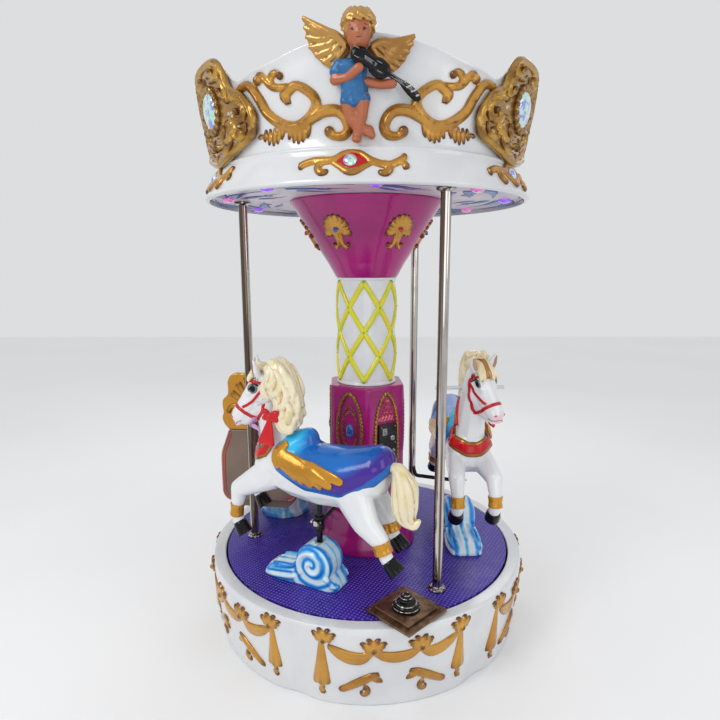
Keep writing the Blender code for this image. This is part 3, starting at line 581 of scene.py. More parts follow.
skirt_profile = eased(
    [
        (RIM_INNER_RADIUS, 0.262), (RIM_INNER_RADIUS, DECK_TOP), (BASE_RADIUS - 0.004, DECK_TOP),
        (BASE_RADIUS, DECK_TOP - 0.020), (0.634, 0.140), (BASE_FOOT_RADIUS, 0.0), (0.562, 0.0),
        (0.562, 0.011), (0.612, 0.011), (0.638, 0.262), (RIM_INNER_RADIUS, 0.262),
    ],
    0.006,
)
skirt = piece(
    "base_moulding", lathed("base_moulding", skirt_profile, 240, lobed), WHITE, "base", ["base_skirt"],
    sharp=50,
)
print(skirt.name, len(skirt.data.polygons), "faces")

# %% [markdown]
# Gold garlands hang round the base: a long tassel under a bow at each side of a lobe, two more bows
# and three looped swags between them, and two loose ribbon ends below. On the real ride they are
# cast in the same mould. Here they are drawn once on a flat board, where one unit of drawing is one metre
# along the skirt, fused, and then bent round the skirt six times.

# %% Draw the garlands
SKIRT_REACH = 0.645
SKIRT_HEIGHT = 0.28


def skirt_radius(height):
    return BASE_FOOT_RADIUS + (BASE_RADIUS - BASE_FOOT_RADIUS) * min(height, SKIRT_HEIGHT) / SKIRT_HEIGHT


def drawn(points):
    """Points given as (degrees, height, half width) on a board as wide as the skirt is round."""
    return [(math.radians(azimuth) * SKIRT_REACH, height, half) for azimuth, height, half in points]


def bow(body, azimuth, height, size):
    """A knotted bow: three fat loops at each side of a knot."""
    x = math.radians(azimuth) * SKIRT_REACH
    for side in (-1, 1):
        for rise, spread in ((0.55, 1.0), (0.95, 0.45), (0.12, 0.75)):
            tip = (x + side * size * spread, height + size * rise)
            stroke(body, [
                (x, height, size * 0.20),
                ((x + tip[0]) / 2 - side * size * 0.06, (height + tip[1]) / 2, size * 0.32),
                (tip[0], tip[1], size * 0.32),
                (tip[0] + side * size * 0.10, tip[1] - size * 0.06, size * 0.08),
            ], height=0.95)
    ball(body, (x, 0.004, height + size * 0.05), (size * 0.34, size * 0.46, size * 0.38))


def tassel(body, azimuth, top, foot, lean, width):
    """A gathered cloth tail that widens towards its foot, over a small knotted end."""
    for fold, share in ((-1, 0.55), (0, 0.75), (1, 0.5)):
        shift = math.degrees(fold * width * 0.42 / SKIRT_REACH)
        stroke(body, drawn([
            (azimuth + shift * 0.25, top, width * 0.22 * share),
            (azimuth + lean * 0.4 + shift * 0.6, (top + foot) / 2,
width * 0.44 * share), (azimuth + lean + shift, foot + 0.012, width * 0.62 * share),
            (azimuth + lean + shift * 1.05, foot, width * 0.42 * share),
        ]), height=0.75)
    knot = azimuth + lean
    stroke(body, drawn([
        (knot - 0.9, foot + 0.004, 0.007), (knot + 0.2, foot - 0.014, 0.009),
        (knot - 0.5, foot - 0.026, 0.008), (knot + 0.4, foot - 0.034, 0.010),
        (knot - 0.7, foot - 0.040, 0.004),
    ]), height=1.0)


def swag(body, start, end, sag):
    """A draped loop of three folds between two bows."""
    (first, first_height), (last, last_height) = start, end
    middle = (first + last) / 2
    for fold in range(3):
        drop = sag * (0.45 + 0.50 * fold)
        thick = 0.0105 - 0.0012 * abs(fold - 1)
        stroke(body, drawn([
            (first, first_height - 0.006 * fold, 0.005), (first + (middle - first) * 0.45,
             first_height - drop * 0.78 - 0.003, thick),
            (middle, (first_height + last_height) / 2 - drop - 0.004, thick),
            (last + (middle - last) * 0.45, last_height - drop * 0.78 - 0.003, thick),
            (last, last_height - 0.006 * fold, 0.005),
        ]), height=0.9)


def ribbon_end(body, mirror, centre, height):
    """A loose ribbon end with a curl under it."""
    def at(x, z, half):
        return (centre + mirror * x, height + z, half)

    stroke(body, drawn([
        at(-6.5, -0.030, 0.004), at(-6.0, -0.020, 0.013), at(-4.0, -0.008, 0.015), at(-1.0, 0.012, 0.017),
        at(3.0, 0.036, 0.016), at(5.4, 0.046, 0.008),
    ]), height=0.7)
    stroke(body, drawn([
        at(2.2, 0.036, 0.009), at(4.8, 0.024, 0.013), at(6.4, 0.012, 0.004),
    ]), height=0.8)
    turns = curl((math.radians(centre + mirror * 0.6) * SKIRT_REACH, height - 0.026), 0.020, 90,
                 -mirror * 0.9, 0.012)
    stroke(body, turns, height=0.9)


board = bmesh.new()
bow(board, -12.6, 0.254, 0.035)
tassel(board, -13.4, 0.246, 0.078, -0.4, 0.044)
bow(board, 2.0, 0.226, 0.037)
bow(board, 16.2, 0.224, 0.037)
bow(board, 29.6, 0.254, 0.035)
tassel(board, 29.9, 0.246, 0.092, 0.0, 0.040)
swag(board, (-11.4, 0.238), (2.0, 0.222), 0.034)
swag(board, (2.0, 0.222), (16.2, 0.222), 0.026)
swag(board, (16.2, 0.222), (28.6, 0.240), 0.030)
ribbon_end(board, 1, -1.6, 0.084)
ribbon_end(board, -1, 18.4, 0.088)
garland_mesh = moulded("garland", board, 0.0022, 3, 13000)


def on_skirt(across, out, up):
    azimuth = math.degrees(across / SKIRT_REACH)
    wall = lobed(skirt_radius(up), azimuth, up)
    return on_ring(wall + out - 0.001, azimuth, up)


bent(garland_mesh, on_skirt)
for lobe in range(LOBES):
    piece(f"garland_{lobe + 1}", garland_mesh, GOLD, "base", azimuth=lobe * 360 / LOBES)
print("garlands:", LOBES, "of", len(garland_mesh.polygons), "faces")

# %% [markdown]
# The steel chassis under the deck is seen only from below. Its solid stays, and only its paint is
# added. The deck itself is turned again in fine steps, so that its edge is round.

# %% Chassis paint and deck
CHASSIS_PAINT = gelcoat("chassis_paint", (0.05, 0.052, 0.055), (0.075, 0.07, 0.068), (0.35, 0.6), coat=0.0)
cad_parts["chassis"].data.materials.clear()
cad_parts["chassis"].data.materials.append(CHASSIS_PAINT)
deck_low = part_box("deck")[0].z
deck_profile = eased([
    (0, DECK_TOP), (DECK_RADIUS, DECK_TOP), (DECK_RADIUS, DECK_TOP - 0.012), (0.200, DECK_TOP - 0.012),
    (0.200, deck_low), (0.0206, deck_low), (0.0206, 0.2903), (0, 0.2903),
], 0.0015)
piece("deck_disc", lathed("deck_disc", deck_profile, 160), DECK_PURPLE, "turntable", ["deck"],
      sharp=40)
print("deck across:", round(2 * DECK_RADIUS, 3), "m")

# %% [markdown]
# ## Column
# The column is four mouldings in a stack: a magenta foot, a six-sided casing round the coin box, a
# white trunk and a magenta head that spreads up to the ceiling like a trumpet.

# %% Foot and head
foot_profile = eased([
    (0, FOOT_TOP), (0.172, FOOT_TOP), (0.176, 0.425), (0.188, 0.370), (0.203, 0.330), (0.207, 0.312),
    (0.207, DECK_TOP + GAP), (0, DECK_TOP + GAP),
], 0.006)
piece("foot_moulding", lathed("foot", foot_profile, 160), MAGENTA, "turntable", ["column_foot"],
      sharp=50)

HEAD_PROFILE = [(0.122, 1.4103), (0.152, 1.464), (0.196, 1.532), (0.236, 1.597), (0.276, 1.664),
                (0.298, 1.6957)]


def head_radius(height):
    for (low_radius, low), (high_radius, high) in zip(HEAD_PROFILE, HEAD_PROFILE[1:]):
        if height <= high:
            return low_radius + (high_radius - low_radius) * (height - low) / (high - low)
    return HEAD_PROFILE[-1][0]


head_rows = [(0.0, UNDER_CEILING), (0.298, UNDER_CEILING), *reversed(HEAD_PROFILE),
             (0.0, HEAD_PROFILE[0][1])]
piece("head_trumpet", lathed("head_trumpet", eased(head_rows, 0.004), 120), MAGENTA, "turntable",
      ["column_head"], sharp=50)
print("column foot and head turned")

# %% [markdown]
# Six fan shells hang on the head, each with a painted gem and two hooked tails. The fan is drawn
# with eleven ribs that grow towards a scalloped rim.

# %% Shells on the head
SHELL_REACH = 0.222
SHELL_MIDDLE = 1.587


def head_wall(across, out, up):
    return on_ring(head_radius(up) + out * 0.86, math.degrees(across / SHELL_REACH), up - out * 0.5)


shell_board = bmesh.new()
for rib in range(11):
    turn = math.radians(-28 + 236 * rib / 10)
    tall = 0.047 if rib % 10 else 0.040
    tip = (math.cos(turn) * tall, SHELL_MIDDLE + math.sin(turn) * tall)
    stroke(shell_board, [
        (math.cos(turn) * 0.010, 1.585 + math.sin(turn) * 0.010, 0.004),
        (tip[0] * 0.7, SHELL_MIDDLE + (tip[1] - SHELL_MIDDLE) * 0.7, 0.0072), (tip[0], tip[1], 0.0078),
        (tip[0] * 1.08, SHELL_MIDDLE + (tip[1] - SHELL_MIDDLE) * 1.08, 0.003),
    ], height=1.05)
ball(shell_board, (0, 0.0, 1.600), (0.036, 0.0065, 0.034))
for side in (-1, 1):
    stroke(shell_board, [
        (side * 0.044, 1.572, 0.009), (side * 0.030, 1.583, 0.007), (side * 0.014, 1.576, 0.008),
        (side * 0.007, 1.552, 0.0085), (side * 0.012, 1.532, 0.008), (side * 0.026, 1.522, 0.0065),
        (side * 0.033, 1.532, 0.004),
    ], height=1.1)
    for spot in ((0.047, 1.570, 0.0085), (0.032, 1.533, 0.008)):
        ball(shell_board, (side * spot[0], 0.004, spot[1]), (spot[2],) * 3)
shell_mesh = bent(moulded("head_shell", shell_board, 0.0019, 2, 4200), head_wall)


def gem_colour(name, colour):
    made = plain_finish(name, colour, {"Coat Weight": 1.0, "Coat Roughness": 0.03})
    laid_over(made, fade(made, noise(made, 120.0, 3.0), 0.45, 0.7), tuple(part * 0.55 for part in colour))
    roughened(made, 0.06, 0.16, 60.0)
    bumped(made, noise(made, 300.0, 1.0), 0.0001)
    return made


GEM_BLUE = gem_colour("gem_paint_blue", (0.012, 0.10, 0.42))
GEM_RED = gem_colour("gem_paint_red", (0.55, 0.006, 0.015))


def bead(name, radii, place, colour, azimuth, lean=0.0):
    """A domed painted stone, with its back let into the wall behind it."""
    body = bmesh.new()
    turn = Matrix.Rotation(math.radians(lean), 4, "X")
    ball(body, place, radii, turn, detail=4)
    return piece(name, mesh_from(body, name), colour, "turntable", azimuth=azimuth)


for number in range(6):
    turned = -28 + 60 * number
    piece(f"head_shell_{number + 1}", shell_mesh, GOLD, "turntable", azimuth=turned)
    colour = GEM_RED if number % 2 else GEM_BLUE
    spot = (0, -(head_radius(1.588) + 0.006), 1.586)
    bead(f"head_gem_{number + 1}", (0.0105, 0.008, 0.0135), spot, colour, turned, -30)
print("shells:", len(shell_mesh.polygons), "faces each")

# %% [markdown]
# The trunk's lattice is cast as raised ribs and then picked out in lime and yellow. Each rib is a
# straight run on the unrolled trunk, so bending it round the column makes the spiral by itself.

# %% Trunk and lattice
TRUNK_RADIUS = 0.116
trunk_rows = [
    (0, TRUNK_TOP), (0.120, TRUNK_TOP), (0.120, TRUNK_TOP - 0.008), (TRUNK_RADIUS, TRUNK_TOP - 0.012),
    (TRUNK_RADIUS, CASING_TOP + 0.012), (0.121, CASING_TOP + 0.006), (0.121, CASING_TOP + GAP),
    (0, CASING_TOP + GAP),
]
piece("trunk_moulding", lathed("trunk", eased(trunk_rows, 0.003), 120), WHITE, "turntable",
      ["column_trunk"], sharp=50)

LATTICE_LOW = 1.004
LATTICE_HIGH = 1.392
LATTICE_COUNT = 6
LATTICE_TURNS = 2
LATTICE_TURN = -5.0
cell = math.tau / LATTICE_COUNT * TRUNK_RADIUS
lattice = bmesh.new()
for number in range(LATTICE_COUNT):
    for side in (-1, 1):
        start = number * cell
        run = [(start + side * cell * part / 12 * LATTICE_TURNS,
                LATTICE_LOW + (LATTICE_HIGH - LATTICE_LOW) * part / 12, 0.0108)
               for part in range(13)]
        stroke(lattice, run, height=0.75, sides=12)
lattice_mesh = mesh_from(lattice, "lattice")


def on_trunk(across, out, up):
    """A place on the trunk, from a width around it, a depth out of it and a height."""
    return on_ring(TRUNK_RADIUS + out, LATTICE_TURN + math.degrees(across / TRUNK_RADIUS), up)


bent(lattice_mesh, on_trunk)
laid_over(YELLOW, fade(YELLOW, noise(YELLOW, 16.0, 2.0), 0.50, 0.66), (0.56, 0.60, 0.01))
piece("trunk_lattice", lattice_mesh, YELLOW, "turntable")
dots = bmesh.new()
for row in range(5):
    height = LATTICE_LOW + (LATTICE_HIGH - LATTICE_LOW) * row / 4
    for number in range(LATTICE_COUNT):
        azimuth = LATTICE_TURN + 60 * number + 30 * (row % 2)
        ball(dots, on_ring(TRUNK_RADIUS + 0.0035, azimuth, height), (0.0062, 0.0062, 0.0078))
piece("lattice_dots", mesh_from(dots, "lattice_dots"), GREEN, "turntable")
print("lattice:", LATTICE_COUNT, "cells round, 2 high")

# %% [markdown]
# The casing is a hexagonal prism with generous corner radii, drawn out of a mould. Pushing a fine
# lathe out to the hexagon gives the flats, and blending in a circle rounds the corners.

# %% Casing
CASING_APOTHEM = 0.147
CASING_TURN = 3.0
DOOR_FACE = CASING_TURN + 30


def six_sided(radius, azimuth, height):
    off = math.radians((azimuth - CASING_TURN) % 60 - 30)
    flat = CASING_APOTHEM / math.cos(off)
    return min(flat, CASING_APOTHEM * 1.125) * radius / CASING_APOTHEM


casing_rows = [
    (0, CASING_TOP), (0.120, CASING_TOP), (CASING_APOTHEM * 0.985, CASING_TOP),
    (CASING_APOTHEM, CASING_TOP - 0.012), (CASING_APOTHEM, FOOT_TOP + 0.012),
    (CASING_APOTHEM * 1.01, FOOT_TOP + GAP), (0, FOOT_TOP + GAP),
]
piece("casing_moulding", lathed("casing", eased(casing_rows, 0.006), 180, six_sided), MAGENTA, "turntable",
      ["column_casing"], sharp=35)
FACE_LIFT = CASING_APOTHEM + 0.0005


def face_at(azimuth):
    """Lays a flat board against the casing's face that looks this way."""
    turn = Matrix.Rotation(math.radians(azimuth), 4, "Z")
    return lambda across, out, up: turn @ Vector((across, -(FACE_LIFT + out), up))


print("casing faces at", [round(DOOR_FACE + 60 * k) for k in range(6)])

# %% [markdown]
# Five faces carry a pointed oval of twisted rope with a lacy inner band round a blue stone. The
# sixth has an arch over the coin box. Rope is drawn as a chain of short slanted strokes, which
# the remesh melts together just as the mould does.

# %% Rope frames
def rope(body, points, thick, pitch):
    """A chain of slanted twists along a run of (across, up) points."""
    path = spline([(*point, thick) for point in points], 14)
    travelled = 0.0
    previous = Vector(path[0][:2])
    for across, up, half in path[1:]:
        here = Vector((across, up))
        step = here - previous
        travelled += step.length
        if travelled >= pitch:
            travelled = 0.0
            run = step.normalized()
            slant = Vector((run.x - 0.75 * run.y, run.y + 0.75 * run.x)).normalized() * thick * 1.15
            stroke(body, [(*(here - slant), thick * 0.5), (*here, thick * 0.62),
                          (*(here + slant), thick * 0.5)], height=1.2, sides=8)
        previous = here
    stroke(body, [(*point, thick * 0.62) for point in points], height=0.9)


OVAL_MIDDLE = 0.812


def oval(half_width, half_height, parts=16):
    """A pointed oval: narrow at its ends like an almond."""
    made = []
    for part in range(parts + 1):
        turn = math.tau * part / parts
        pinch = abs(math.cos(turn))
        made.append((half_width * math.sin(turn) * (1 - 0.18 * pinch * pinch),
                     OVAL_MIDDLE + half_height * math.cos(turn)))
    return made


frame_board = bmesh.new()
rope(frame_board, oval(0.055, 0.146), 0.0095, 0.0125)
rope(frame_board, oval(0.034, 0.096), 0.0052, 0.0080)
oval_mesh = moulded("rope_oval", frame_board, 0.0017, 1, 6500)
lace_board = bmesh.new()
for part in range(16):
    turn = math.tau * (part + 0.5) / 16
    centre = (0.0275 * math.sin(turn), OVAL_MIDDLE + 0.068 * math.cos(turn))
    stroke(lace_board, curl(centre, 0.0085, math.degrees(-turn), 0.9, 0.0036), height=1.1)
lace_mesh = moulded("oval_lace", lace_board, 0.0015, 1, 3000)
for number in range(1, 6):
    azimuth = DOOR_FACE + 60 * number
    for stem, mesh, look in (("rope_oval", oval_mesh, GOLD), ("oval_lace", lace_mesh, ROSE_GOLD)):
        laid = bent(mesh.copy(), face_at(azimuth), -0.002)
        piece(f"{stem}_{number}", laid, look, "turntable")
    bead(f"oval_stone_{number}", (0.0185, 0.012, 0.030), (0, -FACE_LIFT, OVAL_MIDDLE - 0.006), GEM_BLUE,
         azimuth)
print("rope ovals:", 5)

# %% [markdown]
# The coin box looks out of the sixth face: a black pressed-steel door with a round lock, a coin
# slot and a return flap. Over it stands a pointed arch of rope filled with red and pink lace.

# %% Arch and coin door
DOOR_WIDTH = 0.086
DOOR_LOW = 0.665
DOOR_HIGH = 0.835
arch_board = bmesh.new()
for side in (-1, 1):
    jamb = ((0.054, 0.66), (0.054, 0.76), (0.050, 0.85), (0.036, 0.910), (0.014, 0.948), (0, 0.960))
    rope(arch_board, [(side * across, up) for across, up in jamb], 0.0092, 0.0125)
arch_mesh = bent(moulded("arch_rope", arch_board, 0.0017, 1, 6000), face_at(DOOR_FACE), -0.002)
piece("door_arch", arch_mesh, GOLD, "turntable")
fill_board = bmesh.new()
for row, (height, count) in enumerate(((0.850, 5), (0.867, 4), (0.884, 3), (0.901, 2), (0.918, 1))):
    for number in range(count):
        across = (number - (count - 1) / 2) * 0.0155
        stroke(fill_board, curl((across, height), 0.0082, 90 + 70 * row, 1.0, 0.0036), height=1.1)
rope(fill_board, [(-0.042, 0.842), (-0.039, 0.870), (-0.025, 0.908), (0, 0.934), (0.025, 0.908),
                  (0.039, 0.870), (0.042, 0.842)], 0.0034, 0.005)
PINK_LACE = gold_paint("pink_lace_paint", (0.78, 0.20, 0.26), (0.70, 0.10, 0.16), (0.42, 0.01, 0.05))
piece("arch_lace", bent(moulded("arch_lace", fill_board, 0.0015, 1), face_at(DOOR_FACE), -0.002), PINK_LACE,
      "turntable")


def slab(body, low, high, rim):
    """A block with its corners at low and high and a small rolled edge."""
    middle = [(a + b) / 2 for a, b in zip(low, high)]
    size = [b - a for a, b in zip(low, high)]
    made = bmesh.ops.create_cube(body, size=1,
                                 matrix=Matrix.Translation(middle) @ Matrix.Diagonal((*size, 1)))
    edges = list({edge for vertex in made["verts"] for edge in vertex.link_edges})
    bmesh.ops.bevel(body, geom=edges, offset=rim, segments=3, profile=0.6, affect="EDGES")


def knob(body, place, radius, depth, sides=40):
    """A round boss with a rolled rim, whose axis runs out from the door."""
    rows = []
    for share, out in ((1.0, 0.0), (1.0, depth * 0.7), (0.92, depth * 0.92), (0.80, depth), (0.4, depth),
                       (0.36, depth * 0.8)):
        rows.append([
            Vector((place[0] + radius * share * math.cos(math.tau * s / sides), -(place[1] + out),
                    place[2] + radius * share * math.sin(math.tau * s / sides))) for s in range(sides)
        ])
    tube(body, rows)


door = bmesh.new()
front = CASING_APOTHEM + 0.012
slab(door, (-DOOR_WIDTH / 2, -front, DOOR_LOW), (DOOR_WIDTH / 2, -(CASING_APOTHEM + GAP), DOOR_HIGH),
     0.0025)
slab(door, (-0.036, -front - 0.0018, 0.752), (0.036, -front + 0.001, 0.828), 0.0012)
slab(door, (-0.036, -front - 0.0018, 0.672), (0.036, -front + 0.001, 0.744), 0.0012)
DOOR_BLACK = gelcoat("door_black_enamel", (0.004, 0.004, 0.005), (0.010, 0.010, 0.011), (0.22, 0.36),
                     coat=0.1, peel=0.0005)
piece("coin_box_door", mesh_from(door, "coin_box_door"), DOOR_BLACK, "turntable", ["coin_door"],
      azimuth=DOOR_FACE, sharp=40)
works = bmesh.new()
knob(works, (0.018, front + 0.001, 0.778), 0.0115, 0.007)
slab(works, (-0.030, -front - 0.005, 0.792), (-0.008, -front, 0.820), 0.001)
slab(works, (-0.022, -front - 0.007, 0.797), (-0.018, -front - 0.004, 0.815), 0.0006)
slab(works, (-0.026, -front - 0.004, 0.682), (0.010, -front, 0.712), 0.0015)
knob(works, (0.026, front + 0.001, 0.726), 0.0060, 0.004)
for corner in ((-0.033, 0.824), (0.033, 0.824), (-0.033, 0.757), (0.033, 0.757)):
    knob(works, (corner[0], front + 0.001, corner[1]), 0.0026, 0.002, 16)
piece("coin_works", mesh_from(works, "coin_works"), STEEL, "turntable", azimuth=DOOR_FACE, sharp=40)
print("coin door", round(1000 * (DOOR_HIGH - DOOR_LOW)), "mm tall")

# %% [markdown]
# ## Poles
# Three chromed tubes tie the deck to the crown. Each stands in a turned flange that is screwed
# down, so the flange gets a soft step and three screw heads rather than a plain disc.

# %% Three poles
POLE_RING = 0.486
pole_rows = [
    (0, UNDER_CEILING), (0.032, UNDER_CEILING), (0.032, 1.6957), (0.024, 1.6917), (0.0195, 1.6907),
    (0.0175, 1.688), (0.0175, 0.314), (0.0195, 0.3113), (0.024, 0.3103), (0.032, 0.3063), (0.032, ON_DECK),
    (0, ON_DECK),
]
pole_mesh = lathed("pole", eased(pole_rows, 0.0012, 2), 56)
for number in range(3):
    foot = on_ring(POLE_RING, 31.7 + 120 * number)
    upright = pole_mesh.copy()
    upright.transform(Matrix.Translation(foot))
    piece(f"chrome_pole_{number + 1}", upright, CHROME, "turntable", [f"pole_{number + 1}"],
          sharp=50)
    screws = bmesh.new()
    for part in range(3):
        turn = math.tau * (part / 3 + 0.1)
        spot = foot + Vector((0.0275 * math.cos(turn), 0.0275 * math.sin(turn), 0.3075))
        ball(screws, spot, (0.0028, 0.0028, 0.0018))
    piece(f"pole_screws_{number + 1}", mesh_from(screws, "pole_screws"), STEEL, "turntable")
print("poles on a ring of", POLE_RING, "m")

# %% [markdown]
# ## Ceiling
# Under the crown hangs a pale mauve disc with blue comets painted on it and a lit plastic gem at
# each comet's head. Paint is flat, so the comets are very low reliefs. The gems are faceted.

# %% Ceiling disc
ceiling_top = top_of("canopy_ceiling")
CEILING = gelcoat("ceiling_mauve_skin", (0.60, 0.52, 0.60), (0.50, 0.44, 0.52), (0.30, 0.45), coat=0.2)
ceiling_rows = eased([
    (0, ceiling_top), (CEILING_RADIUS, ceiling_top), (CEILING_RADIUS, CEILING_BOTTOM),
    (0.33, CEILING_BOTTOM), (0, CEILING_BOTTOM),
], 0.0015)
piece("ceiling_disc", lathed("ceiling", ceiling_rows, 200), CEILING, "turntable", ["canopy_ceiling"],
      sharp=50)
COMETS = 9
COMET_STEP = 360 // COMETS
comets = bmesh.new()
for number in range(COMETS):
    start = COMET_STEP * number + 6
    for tail, (reach, sweep, half) in enumerate(((0.548, 34, 0.024), (0.500, 30, 0.026), (0.452, 26, 0.022),
                                                 (0.414, 18, 0.014))):
        run = []
        for part in range(9):
            along = part / 8
            spot = on_ring(reach - 0.035 * along * (tail - 1) + 0.016 * math.sin(3.4 * along + tail),
                           start + sweep * along)
            run.append((spot.x, spot.y,
                        half * (1.15 - along) * (0.6 + 0.5 * math.sin(math.pi * min(1, along * 1.6)))))
        stroke(comets, run, height=0.12, sides=6)
    swirl = on_ring(0.418, start + 14)
    stroke(comets, curl((swirl.x, swirl.y), 0.028, COMET_STEP * number, 1.2, 0.006), height=0.2, sides=8)
comet_mesh = mesh_from(comets, "comets")
for vertex in comet_mesh.vertices:
    x, out, y = vertex.co
    vertex.co = (x, y, CEILING_BOTTOM - max(out, -0.0005) - 0.0003)
COMET = gelcoat("comet_blue_paint", (0.004, 0.040, 0.28), (0.006, 0.11, 0.40), (0.25, 0.4), coat=0.1)
piece("ceiling_comets", comet_mesh, COMET, "turntable")


def facets(body, place, radius, depth, rings=4, sides=14, outward=None):
    """A cut stone: rows of flat facets stepping in to a small table."""
    outward = (outward or Vector((0, 0, -1))).normalized()
    side_way = outward.orthogonal().normalized()
    up_way = outward.cross(side_way)
    rows = []
    for ring in range(rings + 1):
        lift = math.sin(math.pi / 2 * ring / rings) * depth
        reach = radius * math.cos(math.pi / 2 * ring / rings * 0.86)
        rows.append([
            Vector(place) + outward * lift + (side_way * math.cos(math.tau * (s + ring / 2) / sides)
            + up_way * math.sin(math.tau * (s + ring / 2) / sides)) * reach for s in range(sides)
        ])
    tube(body, rows)
    bmesh.ops.triangulate(body, faces=body.faces[:])


def lit_gem(name, colour, glow):
    made = gem_colour(name, colour)
    shader = shader_of(made)
    shader.inputs["Emission Color"].default_value = (*colour, 1)
    shader.inputs["Emission Strength"].default_value = glow
    return made


GEM_GLOWS = [lit_gem("ceiling_gem_violet", (0.30, 0.10, 0.8), 0.5),
             lit_gem("ceiling_gem_pink", (0.70, 0.18, 0.5), 0.4)]
for number in range(COMETS):
    stone = bmesh.new()
    facets(stone, on_ring(0.530, COMET_STEP * number + 3, CEILING_BOTTOM), 0.024, 0.014)
    made = piece(f"ceiling_gem_{number + 1}", mesh_from(stone, "ceiling_gem"), GEM_GLOWS[number % 2],
                 "turntable")
    made.data.shade_flat()
print("ceiling comets and gems:", COMETS)

# %% [markdown]
# ## Crown
# The crown is a thin white shell with two slopes: a low band that leans in, a rolled seam at the
# waist, and a tall frieze that leans out to a wavy top edge. The edge peaks behind each crest,
# dips beside it and rises in steps behind each cherub. One sheet, folded over its own top edge,
# keeps the wall and the edge in one piece.

# %% The crown shell
CREST = (
    (0, 2.090), (10, 2.080), (20, 2.060), (25, 2.045), (31, 2.034), (37, 2.028), (42, 2.008), (46, 2.042),
    (51, 2.084), (60, 2.098),
)


def crown_radius(height):
    return WAIST_RADIUS + (CROWN_TOP_RADIUS - WAIST_RADIUS) * (height - WAIST) / (CROWN_TOP - WAIST)


def band_radius(height):
    return BAND_RADIUS + (WAIST_RADIUS - BAND_RADIUS) * (height - BAND_BOTTOM) / (WAIST - BAND_BOTTOM)


def crest_line(azimuth):
    off = azimuth % 120
    off = min(off, 120 - off)
    for (start, low), (end, high) in zip(CREST, CREST[1:]):
        if off <= end:
            return low + (high - low) * (off - start) / (end - start)
    return CREST[-1][1]


def crest_height(azimuth):
    """The height of the wavy edge: straight runs, eased by an average over a few degrees."""
    return sum(crest_line(azimuth + step) for step in range(-3, 4)) / 7


CROWN_INNER_RADIUS = 0.5975
FRIEZE_FOOT = 1.803


def crown_rows(azimuth):
    """The shell's section: up its outer face, over the wavy edge and down the inner face."""
    top = crest_height(azimuth)
    rows = [(CROWN_INNER_RADIUS, CROWN_FOOT), (0.6035, CROWN_FOOT), (0.6100, 1.689), (0.6140, 1.6935),
            (0.6146, 1.697)]
    rows += [(band_radius(height), height) for height in (1.704, 1.73, 1.76, 1.786)]
    rows += [(0.5635, 1.791), (0.5650, 1.7945), (0.5625, 1.7985), (crown_radius(FRIEZE_FOOT), FRIEZE_FOOT)]
    for part in range(1, 9):
        height = FRIEZE_FOOT + (top - 0.010 - FRIEZE_FOOT) * part / 8
        rows.append((crown_radius(height), height))
    edge = crown_radius(top)
    rows += [(edge + 0.0022, top - 0.006), (edge + 0.0020, top - 0.0015), (edge - 0.001, top),
             (edge - 0.005, top), (edge - CROWN_WALL - 0.0005, top - 0.002),
             (edge - CROWN_WALL, top - 0.008)]
    rows += [(crown_radius(height) - CROWN_WALL, height) for height in (1.95, 1.82)]
    rows += [(WAIST_RADIUS - CROWN_WALL, 1.793), (BAND_RADIUS - 0.016, 1.7155),
             (CROWN_INNER_RADIUS, 1.7145), (CROWN_INNER_RADIUS, CROWN_FOOT + 0.002)]
    return rows


shell = bmesh.new()
CROWN_STEPS = 360
columns = [[shell.verts.new(on_ring(r, 360 * s / CROWN_STEPS, h)) for r,
            h in crown_rows(360 * s / CROWN_STEPS)] for s in range(CROWN_STEPS)]
for step in range(CROWN_STEPS):
    left, right = columns[step], columns[(step + 1) % CROWN_STEPS]
    for row in range(len(left)):
        after = (row + 1) % len(left)
        shell.faces.new((left[row], right[row], right[after], left[after]))
panels = [f"crown_panel_{number}" for number in range(1, 7)]
piece("crown_shell", mesh_from(shell, "crown_shell"), WHITE, "turntable", panels, sharp=60)
print("crown", round(2 * BAND_RADIUS, 3), "m across the band, top at", CREST[-1][1])

# %% [markdown]
# ### Gem crests
# Where two cherub panels meet stands a crest: a dark gold plate with pale painted glints, a gold
# scrolled edge round a big cut gem, and long scrolls that run out over the frieze on both sides. The
# scrolls are drawn on a flat board with the carver's own trick: one line per scroll, fat in the
# belly and thin at the eye, with a second line laid along it as a ridge.

# %% Draw the crest's scrolls
CROWN_REACH = 0.580


def on_frieze(across, out, up):
    return on_ring(crown_radius(up) + out, math.degrees(across / CROWN_REACH), up)


def tapered(points, half, ends, reach):
    """Board points of a run of (degrees, height), whose two ends keep a share of the half width."""
    run = []
    for number, (azimuth, up) in enumerate(points):
        along = number / (len(points) - 1)
        share = min(ends[0] + (1 - ends[0]) * min(1, along * 3),
                    ends[1] + (1 - ends[1]) * min(1, (1 - along) * 3))
        run.append((math.radians(azimuth) * reach, up, half * share))
    return run


def sprig(body, points, half, ends=(0.5, 0.35), ridge=True, height=1.0):
    """A scroll through (degrees from the crest, height) points, with a ridge along its back."""
    run = tapered(points, half, ends, CROWN_REACH)
    stroke(body, run, height=height)
    if ridge:
        stroke(body, [(across, up, wide * 0.34) for across, up, wide in run], height=height * 3.9, sides=8)


